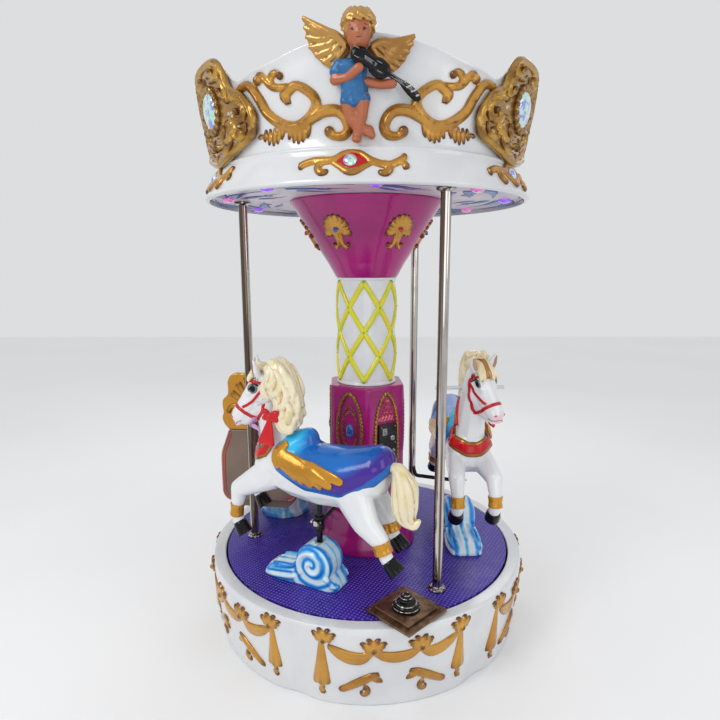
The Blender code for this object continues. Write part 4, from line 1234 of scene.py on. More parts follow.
LOWER_CURL = [(48.4, 1.835), (50.6, 1.827), (53.4, 1.829), (54.8, 1.850), (53.6, 1.880), (51.0, 1.895),
              (47.3, 1.893), (43.6, 1.877), (39.6, 1.862), (35.7, 1.862)]
BIG_SCROLL = [(36.8, 1.921), (36.6, 1.948), (39.0, 1.968), (42.2, 1.957), (45.2, 1.930), (45.2, 1.902),
              (43.0, 1.876), (39.6, 1.860), (35.7, 1.863), (31.7, 1.884), (28.8, 1.909), (27.0, 1.941),
              (24.5, 1.977), (21.9, 1.993), (18.9, 1.988), (18.0, 1.968), (20.0, 1.948), (21.8, 1.954)]
TOP_BRANCH = [(40.4, 1.970), (34.7, 1.968), (31.7, 1.976), (29.6, 1.996), (27.8, 2.008), (26.6, 1.995)]
TOP_HOOK = [(32.0, 1.984), (31.8, 2.000), (33.5, 2.007), (35.2, 1.996)]
INNER_LEAF = [(41.0, 1.966), (38.0, 1.962), (35.6, 1.944), (36.6, 1.922)]
board = bmesh.new()
for side in (-1, 1):
    def mirrored(points):
        return [(side * azimuth, up) for azimuth, up in points]

    sprig(board, mirrored(LOWER_CURL), 0.0170, (0.55, 0.8))
    sprig(board, mirrored(BIG_SCROLL), 0.0175, (0.6, 0.4))
    sprig(board, mirrored(TOP_BRANCH), 0.0130, (0.6, 0.9))
    sprig(board, mirrored(TOP_HOOK), 0.0110, (0.7, 0.8))
    sprig(board, mirrored(INNER_LEAF), 0.0155, (0.4, 0.45))
    for azimuth, up, size in ((49.2, 1.838, 0.0165), (20.6, 1.950, 0.0140), (34.9, 1.998, 0.0115),
                              (26.8, 1.996, 0.0125)):
        ball(board, (math.radians(side * azimuth) * CROWN_REACH, 0.004, up), (size, size * 1.1, size))
    for start, end, low, high, ribs in ((42.4, 36.2, 1.852, 1.812, 5), (33.6, 27.0, 1.857, 1.814, 5)):
        for rib in range(ribs):
            along = rib / (ribs - 1)
            foot = start + (end - start) * along
            drop = low + (high - low) * (0.35 + 0.65 * math.sin(math.pi * (0.15 + 0.7 * along)))
            sprig(board, mirrored([(foot + 0.9, low + 0.006), (foot + 0.1, (low + drop) / 2),
                                   (foot - 0.5, drop)]), 0.0072,
                  (0.6, 0.5), ridge=False, height=1.3)
    sprig(board, mirrored([(27.4, 1.836), (25.8, 1.846), (24.2, 1.842)]), 0.0075, (0.8, 0.8))
scroll_mesh = bent(moulded("crest_scrolls", board, 0.0023, 2, 17000), on_frieze)
print("crest scrolls:", len(scroll_mesh.polygons), "faces")

# %% The crest plate, its edge and its gem
PLATE_EDGE = [(0, 2.100), (9, 2.092), (13, 2.050), (15, 2.000), (21, 1.965), (24, 1.900), (23, 1.860),
              (15, 1.832), (8, 1.812), (0, 1.800)]
CREST_DEPTH = 0.016
GEM_HEIGHT = 1.962


def outline_reach(points, height):
    """How far the plate reaches, in degrees, at a height."""
    reach = 0.0
    for (first, upper), (second, lower) in zip(points, points[1:]):
        if lower <= height <= upper and upper > lower:
            reach = max(reach, first + (second - first) * (upper - height) / (upper - lower))
    return reach


plate = bmesh.new()
PLATE_ROWS = 60
PLATE_FOOT, PLATE_PEAK = 1.802, 2.0985
grid = []
for row in range(PLATE_ROWS + 1):
    height = PLATE_FOOT + (PLATE_PEAK - PLATE_FOOT) * row / PLATE_ROWS
    reach = max(0.6, outline_reach(PLATE_EDGE, height))
    front = []
    for side in range(25):
        across = math.radians(reach * (side - 12) / 12) * CROWN_REACH
        dish = min(1.0, (1 - abs(side - 12) / 12) * 6)
        front.append(on_frieze(across, CREST_DEPTH * (0.45 + 0.30 * dish), height))
    grid.append(front + [on_frieze(math.radians(reach * (12 - side) / 12) * CROWN_REACH, -0.003, height)
                         for side in range(25)])
tube(plate, grid)
bmesh.ops.recalc_face_normals(plate, faces=plate.faces)
plate_mesh = mesh_from(plate, "crest_plate")
PLATE_LIFT = CREST_DEPTH * 0.68
CREST_CURLS = [
    ([(2.5, 2.088), (8.0, 2.082), (10.6, 2.062), (8.2, 2.048), (5.2, 2.056), (5.6, 2.068)], 0.0100),
    ([(1.0, 2.062), (3.4, 2.044), (8.8, 2.036), (12.4, 2.006), (11.6, 1.984), (8.8, 1.990), (9.4, 2.002)],
     0.0105),
    ([(10.5, 1.978), (16.2, 1.962), (20.4, 1.930), (19.2, 1.902), (15.4, 1.904), (15.0, 1.922),
      (17.2, 1.928)], 0.0110),
    ([(7.6, 1.912), (12.6, 1.918), (14.6, 1.888), (11.2, 1.864), (6.0, 1.850), (2.0, 1.846)], 0.0110),
    ([(20.6, 1.892), (19.6, 1.866), (15.2, 1.852), (13.4, 1.868), (15.8, 1.880), (17.6, 1.872)], 0.0095),
    ([(1.0, 1.826), (4.5, 1.820), (8.6, 1.832), (11.6, 1.848), (9.6, 1.862), (7.8, 1.852)], 0.0090),
    ([(22.4, 1.948), (24.4, 1.920), (24.8, 1.890), (22.6, 1.872)], 0.0085),
    ([(11.0, 2.030), (14.6, 2.004), (15.4, 1.978), (12.8, 1.966)], 0.0090),
    ([(1.5, 1.876), (4.6, 1.866), (7.6, 1.880), (8.2, 1.898)], 0.0080),
]


def crest_edge(body):
    for side in (-1, 1):
        outer = [(side * azimuth, up - 0.006) for azimuth, up in PLATE_EDGE]
        sprig(body, outer, 0.0125, (0.9, 0.9), height=1.2)
        for points, half in CREST_CURLS:
            sprig(body, [(side * azimuth, up) for azimuth, up in points], half, height=1.2)
            azimuth, up = points[-1]
            ball(body, (math.radians(side * azimuth) * CROWN_REACH, 0.004, up), (half, half * 1.3, half))
    for petal in range(18):
        turn = math.tau * petal / 18
        ball(body, (0.066 * math.cos(turn), 0.006, GEM_HEIGHT + 0.066 * math.sin(turn)),
             (0.0125, 0.012, 0.0125))


def on_plate(across, out, up):
    return on_frieze(across, out + PLATE_LIFT, up)


board = bmesh.new()
crest_edge(board)
edge_mesh = bent(moulded("crest_edge", board, 0.0023, 2, 18000), on_plate)
CREST_GOLD = gold_paint("crest_gilding", (0.56, 0.32, 0.045), (0.44, 0.23, 0.022), (0.15, 0.06, 0.008))
shader_of(CREST_GOLD).inputs["Metallic"].default_value = 0.5

PLATE_GOLD = gold_paint("crest_plate_paint", (0.36, 0.19, 0.035), (0.25, 0.115, 0.018), (0.10, 0.04, 0.008))
# Painted highlight: pale patches stand in for glints of light on the plate.
laid_over(PLATE_GOLD, fade(PLATE_GOLD, noise(PLATE_GOLD, 26.0, 3.0), 0.60, 0.66), (0.62, 0.58, 0.46))

# Painted light: a faint emission makes these unlit stones glow.
CUT_GEM = plain_finish("cut_plastic_gem", (0.55, 0.75, 0.72), {
    "Metallic": 0.65, "Coat Weight": 1.0, "Emission Color": (0.55, 0.85, 0.8, 1), "Emission Strength": 0.12,
})
laid_over(CUT_GEM, fade(CUT_GEM, noise(CUT_GEM, 55.0, 1.0), 0.50, 0.58), (0.26, 0.20, 0.72))
laid_over(CUT_GEM, fade(CUT_GEM, noise(CUT_GEM, 80.0, 1.0), 0.58, 0.64), (0.35, 0.78, 0.5))
roughened(CUT_GEM, 0.04, 0.14, 90.0)
bumped(CUT_GEM, noise(CUT_GEM, 220.0, 1.0), 0.0002)
for number in range(3):
    azimuth = 60 + 120 * number
    stem = f"gem_crest_{number + 1}"
    piece(f"{stem}_scrolls", scroll_mesh, GOLD, "turntable", [stem], azimuth)
    piece(f"{stem}_plate", plate_mesh, PLATE_GOLD, "turntable", azimuth=azimuth)
    piece(f"{stem}_edge", edge_mesh, CREST_GOLD, "turntable", azimuth=azimuth)
    stone = bmesh.new()
    facets(stone, (0, -(crown_radius(GEM_HEIGHT) + PLATE_LIFT + 0.002), GEM_HEIGHT), 0.060, 0.020, 6, 20,
           Vector((0, -1, -0.15)))
    made = piece(f"{stem}_gem", mesh_from(stone, "crest_gem"), CUT_GEM, "turntable", azimuth=azimuth)
    made.data.shade_flat()
print("crests: 3 with edges of", len(edge_mesh.polygons), "faces")

# %% [markdown]
# ### Band jewels
# Under each panel a small jewel sits on the leaning band: a clear gem in a red lozenge, framed by
# gold wisps that curl at their ends. There are six, cast from one mould.

# %% Band jewels
BAND_REACH = 0.585
JEWEL_MIDDLE = -4.2


def on_band(across, out, up):
    return on_ring(band_radius(up) + out * 0.87, math.degrees(across / BAND_REACH), up + out * 0.45)


def wisp(body, points, half, ends=(0.6, 0.5)):
    run = [(across, up, wide * 1.55) for across, up, wide in tapered(points, half, ends, BAND_REACH)]
    stroke(body, run, height=1.0)


board = bmesh.new()
wisp(board, [(-19.4, 1.742), (-17.8, 1.750), (-15.4, 1.757), (-12.6, 1.758), (-9.6, 1.758), (-6.6, 1.776),
             (-4.2, 1.782)], 0.0075, (1.0, 0.7))
wisp(board, [(-4.2, 1.782), (-1.6, 1.776), (1.2, 1.756), (4.2, 1.744), (6.6, 1.742), (8.6, 1.750),
             (10.8, 1.764), (11.2, 1.774)], 0.0075, (0.7, 0.8))
wisp(board, [(-9.8, 1.752), (-7.4, 1.736), (-5.6, 1.724), (-4.2, 1.720), (-2.8, 1.724), (-0.8, 1.736),
             (1.6, 1.748)], 0.0070, (0.7, 0.7))
wisp(board, [(-10.6, 1.752), (-12.8, 1.750), (-13.9, 1.736), (-12.8, 1.722), (-11.4, 1.722),
             (-11.2, 1.730)], 0.0075)
wisp(board, [(3.2, 1.746), (5.4, 1.746), (6.5, 1.732), (5.4, 1.718), (4.0, 1.718), (3.8, 1.726)], 0.0075)
wisp(board, [(9.0, 1.752), (10.6, 1.748), (11.4, 1.738), (10.2, 1.732)], 0.0060)
ball(board, (math.radians(-19.0) * BAND_REACH, 0.002, 1.740), (0.009, 0.008, 0.009))
jewel_mesh = bent(moulded("band_jewel", board, 0.0020, 2, 3800), on_band)
board = bmesh.new()
wisp(board, [(-8.2, 1.754), (-6.2, 1.756), (-4.2, 1.752), (-2.0, 1.750), (0.6, 1.750)], 0.019, (0.25, 0.25))
lozenge_mesh = bent(moulded("lozenge", board, 0.0022, 3, 1500),
                    lambda across, out, up: on_band(across, min(out, 0.006), up))
for number in range(6):
    azimuth = 60 * number
    piece(f"band_wisps_{number + 1}", jewel_mesh, GOLD, "turntable", azimuth=azimuth)
    piece(f"band_lozenge_{number + 1}", lozenge_mesh, RED, "turntable", azimuth=azimuth)
    stone = bmesh.new()
    spot = on_band(math.radians(JEWEL_MIDDLE - 0.4) * BAND_REACH, 0.004, 1.753)
    facets(stone, spot, 0.021, 0.011, 5, 16, Vector((spot.x, spot.y, 0)).normalized() + Vector((0, 0, 0.5)))
    made = piece(f"band_stone_{number + 1}", mesh_from(stone, "band_stone"), CUT_GEM, "turntable",
                 azimuth=azimuth)
    made.data.shade_flat()
print("band jewels: 6")

# %% [markdown]
# ### Cherubs
# On three panels a small winged child kneels in front of the frieze with a dark string
# instrument. It is modelled like a plaster relief: half of each limb is let into the wall. The
# face is a plain, calm doll's face. Hair and feathers are strands fused over simple cores.

# %% Cherub figure
def at_crown(x, height, out, *radii):
    reach = crown_radius(height) + out
    return (x, -math.sqrt(reach * reach - x * x), height, *radii)


def let_in(mesh):
    """Nothing of a cherub reaches deeper into the crown's wall than three millimetres."""
    for vertex in mesh.vertices:
        reach = math.hypot(vertex.co.x, vertex.co.y)
        deepest = crown_radius(vertex.co.z) - 0.003
        if reach < deepest:
            vertex.co.x *= deepest / reach
            vertex.co.y *= deepest / reach
    return mesh


def cherub_part(voxel, passes, *chains):
    body = bmesh.new()
    for chain in chains:
        limb(body, [at_crown(*knob) for knob in chain])
    return let_in(moulded("cherub_part", body, voxel, passes, 9000))


skin_mesh = cherub_part(
    0.0026, 5,
    [(-0.021, 2.066, 0.032, 0.034, 0.036, 0.036), (-0.021, 2.092, 0.028, 0.040, 0.040, 0.038)],
    [(-0.021, 2.052, 0.044, 0.022, 0.020, 0.016), (-0.021, 2.064, 0.046, 0.026, 0.020, 0.018)],
    [(-0.033, 2.060, 0.052, 0.011, 0.010, 0.011), (-0.033, 2.058, 0.050, 0.012, 0.010, 0.010)],
    [(-0.009, 2.060, 0.052, 0.011, 0.010, 0.011), (-0.009, 2.058, 0.050, 0.012, 0.010, 0.010)],
    [(-0.021, 2.071, 0.062, 0.0042, 0.006, 0.008), (-0.021, 2.065, 0.066, 0.0062, 0.0062, 0.0052)],
    [(-0.021, 2.044, 0.058, 0.008, 0.006, 0.006), (-0.021, 2.046, 0.056, 0.010, 0.007, 0.006)],
    [(-0.027, 2.0535, 0.0605, 0.006, 0.0045, 0.0026), (-0.015, 2.0535, 0.0605, 0.006, 0.0045, 0.0026)],
    [(-0.026, 2.024, 0.018, 0.018, 0.018, 0.018), (-0.024, 2.040, 0.022, 0.017, 0.017, 0.016)],
    [(-0.080, 1.990, 0.018, 0.017, 0.018, 0.018), (-0.088, 1.966, 0.022, 0.0155, 0.0165, 0.0155),
     (-0.052, 1.966, 0.038, 0.0125, 0.0130, 0.0125), (-0.020, 1.985, 0.054, 0.0140, 0.0110, 0.0130)],
    [(0.000, 1.960, 0.020, 0.015, 0.015, 0.014), (0.038, 1.950, 0.030, 0.0135, 0.0135, 0.013),
     (0.072, 1.950, 0.042, 0.0135, 0.0120, 0.0140)],
    [(-0.012, 1.918, 0.016, 0.025, 0.027, 0.026), (-0.014, 1.878, 0.017, 0.0195, 0.0215, 0.022),
     (-0.022, 1.846, 0.016, 0.0160, 0.0170, 0.016), (-0.028, 1.822, 0.014, 0.0125, 0.014, 0.013),
     (-0.028, 1.811, 0.022, 0.0150, 0.017, 0.0085)],
    [(-0.052, 1.912, 0.012, 0.023, 0.024, 0.026), (-0.042, 1.866, 0.018, 0.0190, 0.0200, 0.021),
     (-0.018, 1.842, 0.010, 0.0150, 0.0150, 0.0150), (0.010, 1.836, 0.010, 0.0130, 0.0140, 0.0180),
     (0.016, 1.824, 0.014, 0.0110, 0.0140, 0.0120)],
)
cloth_mesh = cherub_part(
    0.0026, 4,
    [(-0.042, 1.996, 0.016, 0.047, 0.030, 0.026), (-0.036, 1.965, 0.015, 0.040, 0.030, 0.030),
     (-0.033, 1.940, 0.015, 0.040, 0.032, 0.028), (-0.033, 1.914, 0.014, 0.042, 0.032, 0.024)],
    [(-0.074, 2.002, 0.018, 0.020, 0.022, 0.018), (-0.084, 1.986, 0.019, 0.0200, 0.0210, 0.0170)],
    [(-0.050, 1.915, 0.014, 0.026, 0.027, 0.022), (-0.014, 1.918, 0.016, 0.028, 0.029, 0.021)],
)
CLOTH = gelcoat("cherub_cloth_paint", (0.008, 0.115, 0.30), (0.006, 0.08, 0.23), (0.3, 0.45), coat=0.1)
# Painted shade: the cloth is darker blue in its recesses.
laid_over(CLOTH, recesses(CLOTH, 0.42, 0.5), (0.01, 0.05, 0.2))
laid_over(CLOTH, fade(CLOTH, noise(CLOTH, 60.0, 3.0), 0.56, 0.66), (0.05, 0.20, 0.42))


def feathers(side):
    """A wing: a fleshy leading edge, short covert feathers and long flight feathers."""
    body = bmesh.new()
    shoulder = (-0.056, 2.050) if side < 0 else (0.014, 2.046)
    tips = (
        [(-0.175, 2.127), (-0.173, 2.106), (-0.169, 2.083), (-0.160, 2.056), (-0.144, 2.034),
         (-0.122, 2.014), (-0.098, 2.000)]
        if side < 0 else
        [(0.134, 2.078), (0.130, 2.060), (0.121, 2.040), (0.109, 2.020), (0.094, 2.004), (0.078, 1.992),
         (0.060, 1.990)]
    )
    elbow = (-0.108, 2.088) if side < 0 else (0.074, 2.058)
    for number, (x, z) in enumerate(tips):
        share = number / (len(tips) - 1)
        via = (elbow[0] + (shoulder[0] - elbow[0]) * share,
               elbow[1] + (shoulder[1] - elbow[1]) * share - 0.006)
        run = [shoulder, via, ((via[0] + x) / 2, (via[1] + z) / 2 - 0.004), (x, z)]
        widths = (0.008, 0.0125, 0.0125, 0.0055)
        lock(body, [at_crown(px, pz, 0.011 - 0.0012 * number, half) for (px, pz), half in zip(run, widths)],
             sides=10)
    for number in range(5):
        share = number / 4
        start = (shoulder[0] + (elbow[0] - shoulder[0]) * share,
                 shoulder[1] + (elbow[1] - shoulder[1]) * share)
        tip = (start[0] + side * (0.022 + 0.016 * share), start[1] - 0.030 + 0.022 * share)
        lock(body, [at_crown(*start, 0.018, 0.0085), at_crown(*tip, 0.014, 0.0050)], sides=10)
    web(body, [at_crown(x * 0.94 + shoulder[0] * 0.06, z, 0.006, 0.005, 0.004, 0.005) for x,
               z in (shoulder, elbow, *tips)])
    edge = [shoulder, ((shoulder[0] + elbow[0]) / 2, (shoulder[1] + elbow[1]) / 2 + 0.006), elbow, tips[0]]
    lock(body,
         [at_crown(px, pz, 0.016, half) for (px, pz), half in zip(edge, (0.011, 0.0125, 0.0110, 0.0050))])
    return let_in(moulded("feathers", body, 0.0020, 1, 7000))


def curls():
    """Short locks that swirl from the crown of the head down over the brow."""
    body = bmesh.new()
    limb(body, [at_crown(-0.021, 2.088, 0.022, 0.0445, 0.040, 0.040),
                at_crown(-0.021, 2.096, 0.026, 0.0440, 0.040, 0.038)])
    for ring, (count, rise, length) in enumerate(((15, 62, 0.030), (13, 38, 0.030), (9, 12, 0.026))):
        for number in range(count):
            turn = math.tau * (number + 0.5 * ring) / count
            tilt = math.radians(90 - rise)
            normal = Vector((math.sin(tilt) * math.cos(turn), math.sin(tilt) * math.sin(turn) - 0.25,
                             math.cos(tilt))).normalized()
            if normal.y < -0.40 and normal.z < 0.42:
                continue
            middle = Vector(at_crown(-0.021, 2.093, 0.028))
            run = []
            for part in range(4):
                lean = 0.16 + 0.26 * part
                way = Matrix.Rotation(lean * 0.62, 3, Vector((-math.sin(turn), math.cos(turn), 0))) @ normal
                swirl = Matrix.Rotation(0.30 * math.sin(part * 1.7 + number), 3, "Z") @ way
                run.append((*(middle + Vector((swirl.x * 0.0455, swirl.y * 0.0425, swirl.z * 0.0435))),
                            0.0068 - 0.0010 * part))
            lock(body, run, sides=8)
    return let_in(moulded("curls", body, 0.0020, 1, 8500))


violin = bmesh.new()
limb(violin, [at_crown(-0.020, 2.018, 0.048, 0.025, 0.012, 0.023),
              at_crown(-0.012, 2.013, 0.048, 0.025, 0.012, 0.023)])
limb(violin, [at_crown(0.002, 2.006, 0.047, 0.018, 0.011, 0.018),
              at_crown(0.016, 1.998, 0.047, 0.018, 0.011, 0.018)])
limb(violin, [at_crown(0.030, 1.989, 0.045, 0.027, 0.012, 0.026),
              at_crown(0.040, 1.982, 0.045, 0.027, 0.012, 0.026)])
lock(violin, [at_crown(0.055, 1.974, 0.048, 0.0070), at_crown(0.090, 1.957, 0.045, 0.0065),
              at_crown(0.104, 1.948, 0.042, 0.0100), at_crown(0.122, 1.935, 0.038, 0.0130),
              at_crown(0.140, 1.922, 0.034, 0.0125), at_crown(0.150, 1.915, 0.032, 0.0070)])
violin_mesh = moulded("violin", violin, 0.0020, 2)
strings = bmesh.new()
for offset in (-0.0036, -0.0012, 0.0012, 0.0036):
    start = Vector(at_crown(-0.004, 2.008 + offset, 0.0605))
    end = Vector(at_crown(0.128, 1.934 + offset, 0.0510))
    lock(strings, [(*start, 0.0006), (*start.lerp(end, 0.5), 0.0006), (*end, 0.0006)], sides=6)
for x, z in ((-0.026, 2.020), (0.036, 1.984)):
    for side in (-1, 1):
        spot = at_crown(x, z + side * 0.0115, 0.0590)
        lock(strings, [(spot[0] - 0.007, spot[1], spot[2] + 0.004, 0.0007),
                       (spot[0], spot[1] - 0.001, spot[2], 0.0010),
                       (spot[0] + 0.007, spot[1], spot[2] - 0.003, 0.0007)], sides=6)
for number in range(9):
    across = 0.108 + 0.0045 * number
    spot = at_crown(across, 1.950 - (across - 0.106) * 0.74 + (0.005, -0.005, 0.0)[number % 3], 0.0505)
    ball(strings, spot, (0.0032, 0.0022, 0.0032))
face_marks = bmesh.new()
for side in (-1, 1):
    spot = Vector(at_crown(-0.021 + side * 0.0145, 2.072, 0.0625))
    ball(face_marks, (spot.x, spot.y + 0.0004, spot.z), (0.0046, 0.0026, 0.0034))
    lock(face_marks, [(spot.x - 0.0080, spot.y + 0.0016, spot.z + 0.0010, 0.0007),
                      (spot.x, spot.y - 0.0010, spot.z + 0.0040, 0.0013),
                      (spot.x + 0.0080, spot.y + 0.0016, spot.z + 0.0010, 0.0007)], sides=8)
    lock(face_marks, [(spot.x - 0.0095, spot.y + 0.0012, spot.z + 0.0100, 0.0007),
                      (spot.x, spot.y - 0.001, spot.z + 0.0130, 0.0014),
                      (spot.x + 0.0095, spot.y + 0.0012, spot.z + 0.0100, 0.0007)], sides=8)
for way in (-1, 1):
    corner = Vector(at_crown(-0.021 + way * 0.0085, 2.0545, 0.0640))
    middle = Vector(at_crown(-0.021, 2.0530, 0.0665))
    lock(face_marks, [(*corner, 0.0005), (*corner.lerp(middle, 0.5), 0.0009), (*middle, 0.0010)], sides=8)
BROWN = gelcoat("face_line_paint", (0.055, 0.018, 0.010), (0.08, 0.026, 0.014), (0.35, 0.5), coat=0.1)
parts = {
    "skin": (skin_mesh, SKIN), "cloth": (cloth_mesh, CLOTH), "wing_left": (feathers(-1), HAIR_GOLD),
    "wing_right": (feathers(1), HAIR_GOLD), "curls": (curls(), HAIR_GOLD), "violin": (violin_mesh, BLACK),
    "strings": (mesh_from(strings, "strings"), STEEL),
    "face_lines": (mesh_from(face_marks, "face_lines"), BROWN),
}
for number in range(3):
    for stem, (mesh, look) in parts.items():
        nodes = [f"cherub_{number + 1}"] if stem == "skin" else ()
        piece(f"cherub_{number + 1}_{stem}", mesh, look, "turntable", nodes,
              120 * number)
print("cherub:", {stem: len(mesh.polygons) for stem, (mesh, look) in parts.items()})

# %% [markdown]
# ## Plate, turret and pedestals
# On the deck's edge lies a two-tier bronze plate with a black and chrome turret. It was cast and
# brushed, so its edges are rolled and its face carries four screws.

# %% Bronze plate and turret
PLATE_AT = on_ring(0.571, 13.5)
plate_top = top_of("knob_plate")
bronze = bmesh.new()
tier = (plate_top - (DECK_TOP + 0.0068)) / 2
slab(bronze, (-0.0975, -0.0975, plate_top - 2 * tier), (0.0975, 0.0975, plate_top - tier), 0.002)
slab(bronze, (-0.075, -0.075, plate_top - tier - 0.001), (0.075, 0.075, plate_top), 0.0025)
for x in (-0.086, 0.086):
    for y in (-0.086, 0.086):
        ball(bronze, (x, y, plate_top - tier), (0.0038, 0.0038, 0.0022))
plate_mesh = mesh_from(bronze, "bronze_plate")
plate_mesh.transform(Matrix.Translation((PLATE_AT.x, PLATE_AT.y, 0)) @ Matrix.Rotation(math.radians(45), 4,
                                                                                       "Z"))
laid_over(BRONZE, fade(BRONZE, noise(BRONZE, 34.0, 5.0), 0.46, 0.60), (0.15, 0.085, 0.05))
piece("bronze_plate", plate_mesh, BRONZE, "turntable", ["knob_plate"], sharp=45)
turret_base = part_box("knob_turret")[0].z
turret_rows = eased([
    (0, 0.040), (0.006, 0.0405), (0.0075, 0.043), (0.013, 0.044), (0.016, 0.044), (0.0195, 0.041),
    (0.020, 0.038), (0.020, 0.028), (0.0225, 0.0255), (0.030, 0.022), (0.0345, 0.018), (0.0335, 0.0165),
    (0.040, 0.010), (0.048, 0.006), (0.048, 0), (0, 0),
], 0.0012)


def gripped(r, a, h):
    """The turret's radius, with twelve shallow grooves around its middle."""
    return r * (1 - 0.035 * (0.026 < h < 0.040) * (0.5 + 0.5 * math.cos(math.radians(a * 12))))


turret_mesh = lathed("turret", turret_rows, 72, gripped)
turret_mesh.transform(Matrix.Translation((PLATE_AT.x, PLATE_AT.y, turret_base)))
piece("turret", turret_mesh, BLACK, "turntable", ["knob_turret"], sharp=40)
rings = bmesh.new()
for reach, height, thick in ((0.0205, 0.0375, 0.0016), (0.0350, 0.0172, 0.0022), (0.0465, 0.0070, 0.0018),
                             (0.0120, 0.0440, 0.0014)):
    rows = []
    for step in range(73):
        turn = math.tau * step / 72
        rows.append([Vector((PLATE_AT.x, PLATE_AT.y, turret_base))
                     + Vector(((reach + thick * math.cos(s)) * math.cos(turn),
(reach + thick * math.cos(s)) * math.sin(turn), height + thick * math.sin(s)))
                     for s in [math.tau * k / 10 for k in range(10)]])
    tube(rings, rows)
piece("turret_rings", mesh_from(rings, "turret_rings"), CHROME, "turntable")
print("turret on the plate at", tuple(round(v, 3) for v in PLATE_AT))

# %% [markdown]
# Each rod comes up out of a pedestal shaped like a breaking wave: a round curl with a long tongue
# running out in front. The spiral is cast as ridges and painted in blue and white streaks. A spiral
# of paint is a matter of polar coordinates, so the colour follows the angle plus the radius.

# %% Wave pedestals
CURL_CENTRE = (-0.018, 0.384)
CURL_RADIUS = 0.076
PEDESTAL_WIDTH = 0.116
ROD_OFFSET = -0.020
ROD_HOLE_RADIUS = 0.0165
HORSE_RING = 0.400
STANDS = {number: Matrix.Translation(on_ring(HORSE_RING,
                                             azimuth)) @ Matrix.Rotation(math.radians(azimuth + 180), 4,
                                                                         "Z")
          for number, azimuth in ((1, -28.3), (2, 91.7))}
WAVE_SECTIONS = [
    (0.203, 0.006, 0.060), (0.200, 0.018, 0.098), (0.190, 0.032, 0.122), (0.165, 0.044, 0.138),
    (0.130, 0.050, 0.142), (0.095, 0.050, 0.138), (0.060, 0.060, 0.130), (0.020, 0.080, 0.124),
    (-0.040, 0.080, 0.122), (-0.080, 0.058, 0.118), (-0.104, 0.032, 0.104), (-0.117, 0.010, 0.080),
]


def wave_foot(body):
    """The low body of the wave: arched sections that widen towards the deck, from the tongue back."""
    rows = []
    for x, height, width in WAVE_SECTIONS:
        row = []
        for part in range(17):
            turn = math.pi * part / 16
            flat = abs(math.sin(turn)) ** 0.75
            row.append((x, width / 2 * math.copysign(abs(math.cos(turn)) ** 0.8, math.cos(turn)),
                        DECK_TOP + GAP + height * flat))
        rows.append(row)
    tube(body, rows)


wave = bmesh.new()
wave_foot(wave)
drum_row = []
for share, lean in ((-1.0, 0.72), (-0.93, 0.90), (-0.78, 0.985), (0.0, 1.0), (0.78, 0.985), (0.93, 0.90),
                    (1.0, 0.72)):
    drum_row.append([(CURL_CENTRE[0] + CURL_RADIUS * lean * math.cos(math.tau * part / 48),
                      share * PEDESTAL_WIDTH / 2, CURL_CENTRE[1]
                      + CURL_RADIUS * lean * math.sin(math.tau * part / 48)) for part in range(48)])
tube(wave, drum_row)
bmesh.ops.recalc_face_normals(wave, faces=wave.faces)
for side in (-1, 1):
    def on_side(points, thick):
        lock(wave, [(x, side * out, z, thick) for x, out, z in points], sides=12)
    spiral = []
    for part in range(15):
        turn = math.radians(-40 + 34 * part)
        reach = 0.062 * (1 - part / 17)
        spiral.append((CURL_CENTRE[0] + reach * math.cos(turn), PEDESTAL_WIDTH / 2 - 0.002,
                       CURL_CENTRE[1] - 0.002 + reach * math.sin(turn)))
    on_side(spiral, 0.0095)
    on_side([(0.040, 0.056, 0.352), (0.085, 0.062, 0.342), (0.135, 0.063, 0.334), (0.178, 0.052, 0.322)],
            0.0075)
    on_side([(0.052, 0.062, 0.328), (0.095, 0.068, 0.320), (0.145, 0.068, 0.314), (0.185, 0.054, 0.308)],
            0.0070)
    on_side([(-0.070, 0.054, 0.352), (-0.094, 0.052, 0.336), (-0.104, 0.050, 0.318)], 0.010)
for across in (-0.036, -0.012, 0.012, 0.036):
    lock(wave, [(0.058, across, 0.372, 0.008), (0.078, across * 1.1, 0.354, 0.009),
                (0.120, across * 1.15, 0.350, 0.008), (0.165, across * 1.1, 0.344, 0.006)])
lock(wave, [(-0.096, 0.034, 0.318, 0.012), (-0.116, 0.040, 0.322, 0.011), (-0.128, 0.044, 0.332, 0.006)])
pedestal_mesh = moulded("wave", wave, 0.0030, 6, 12000)
hole = bmesh.new()
bmesh.ops.create_cone(hole, cap_ends=True, segments=48, radius1=ROD_HOLE_RADIUS, radius2=ROD_HOLE_RADIUS,
                      depth=0.20, matrix=Matrix.Translation((ROD_OFFSET, 0, 0.412)))
pedestal_mesh = carved(pedestal_mesh, mesh_from(hole, "hole"), "DIFFERENCE")

WAVE_PAINT = gelcoat("wave_streaks", (0.70, 0.80, 0.86), (0.46, 0.70, 0.86), (0.12, 0.22), coat=0.3)


def reckoned(first, operation, second=0.0):
    return combined(WAVE_PAINT, operation, first, second)


axes = new_node(WAVE_PAINT, "ShaderNodeSeparateXYZ")
wire(WAVE_PAINT, place_of(WAVE_PAINT), axes.inputs[0])
local_x = reckoned(axes.outputs["X"], "SUBTRACT", CURL_CENTRE[0])
local_z = reckoned(axes.outputs["Z"], "SUBTRACT", CURL_CENTRE[1])
angle = reckoned(local_z, "ARCTAN2", local_x)
reach = reckoned(reckoned(reckoned(local_x, "MULTIPLY", local_x), "ADD",
                          reckoned(local_z, "MULTIPLY", local_z)), "POWER", 0.5)
wobble = reckoned(noise(WAVE_PAINT, 11.0, 3.0), "MULTIPLY", 5.0)
sideways = reckoned(axes.outputs["Y"], "ABSOLUTE")


def streaks(phase):
    return reckoned(reckoned(phase, "ADD", wobble), "SINE")


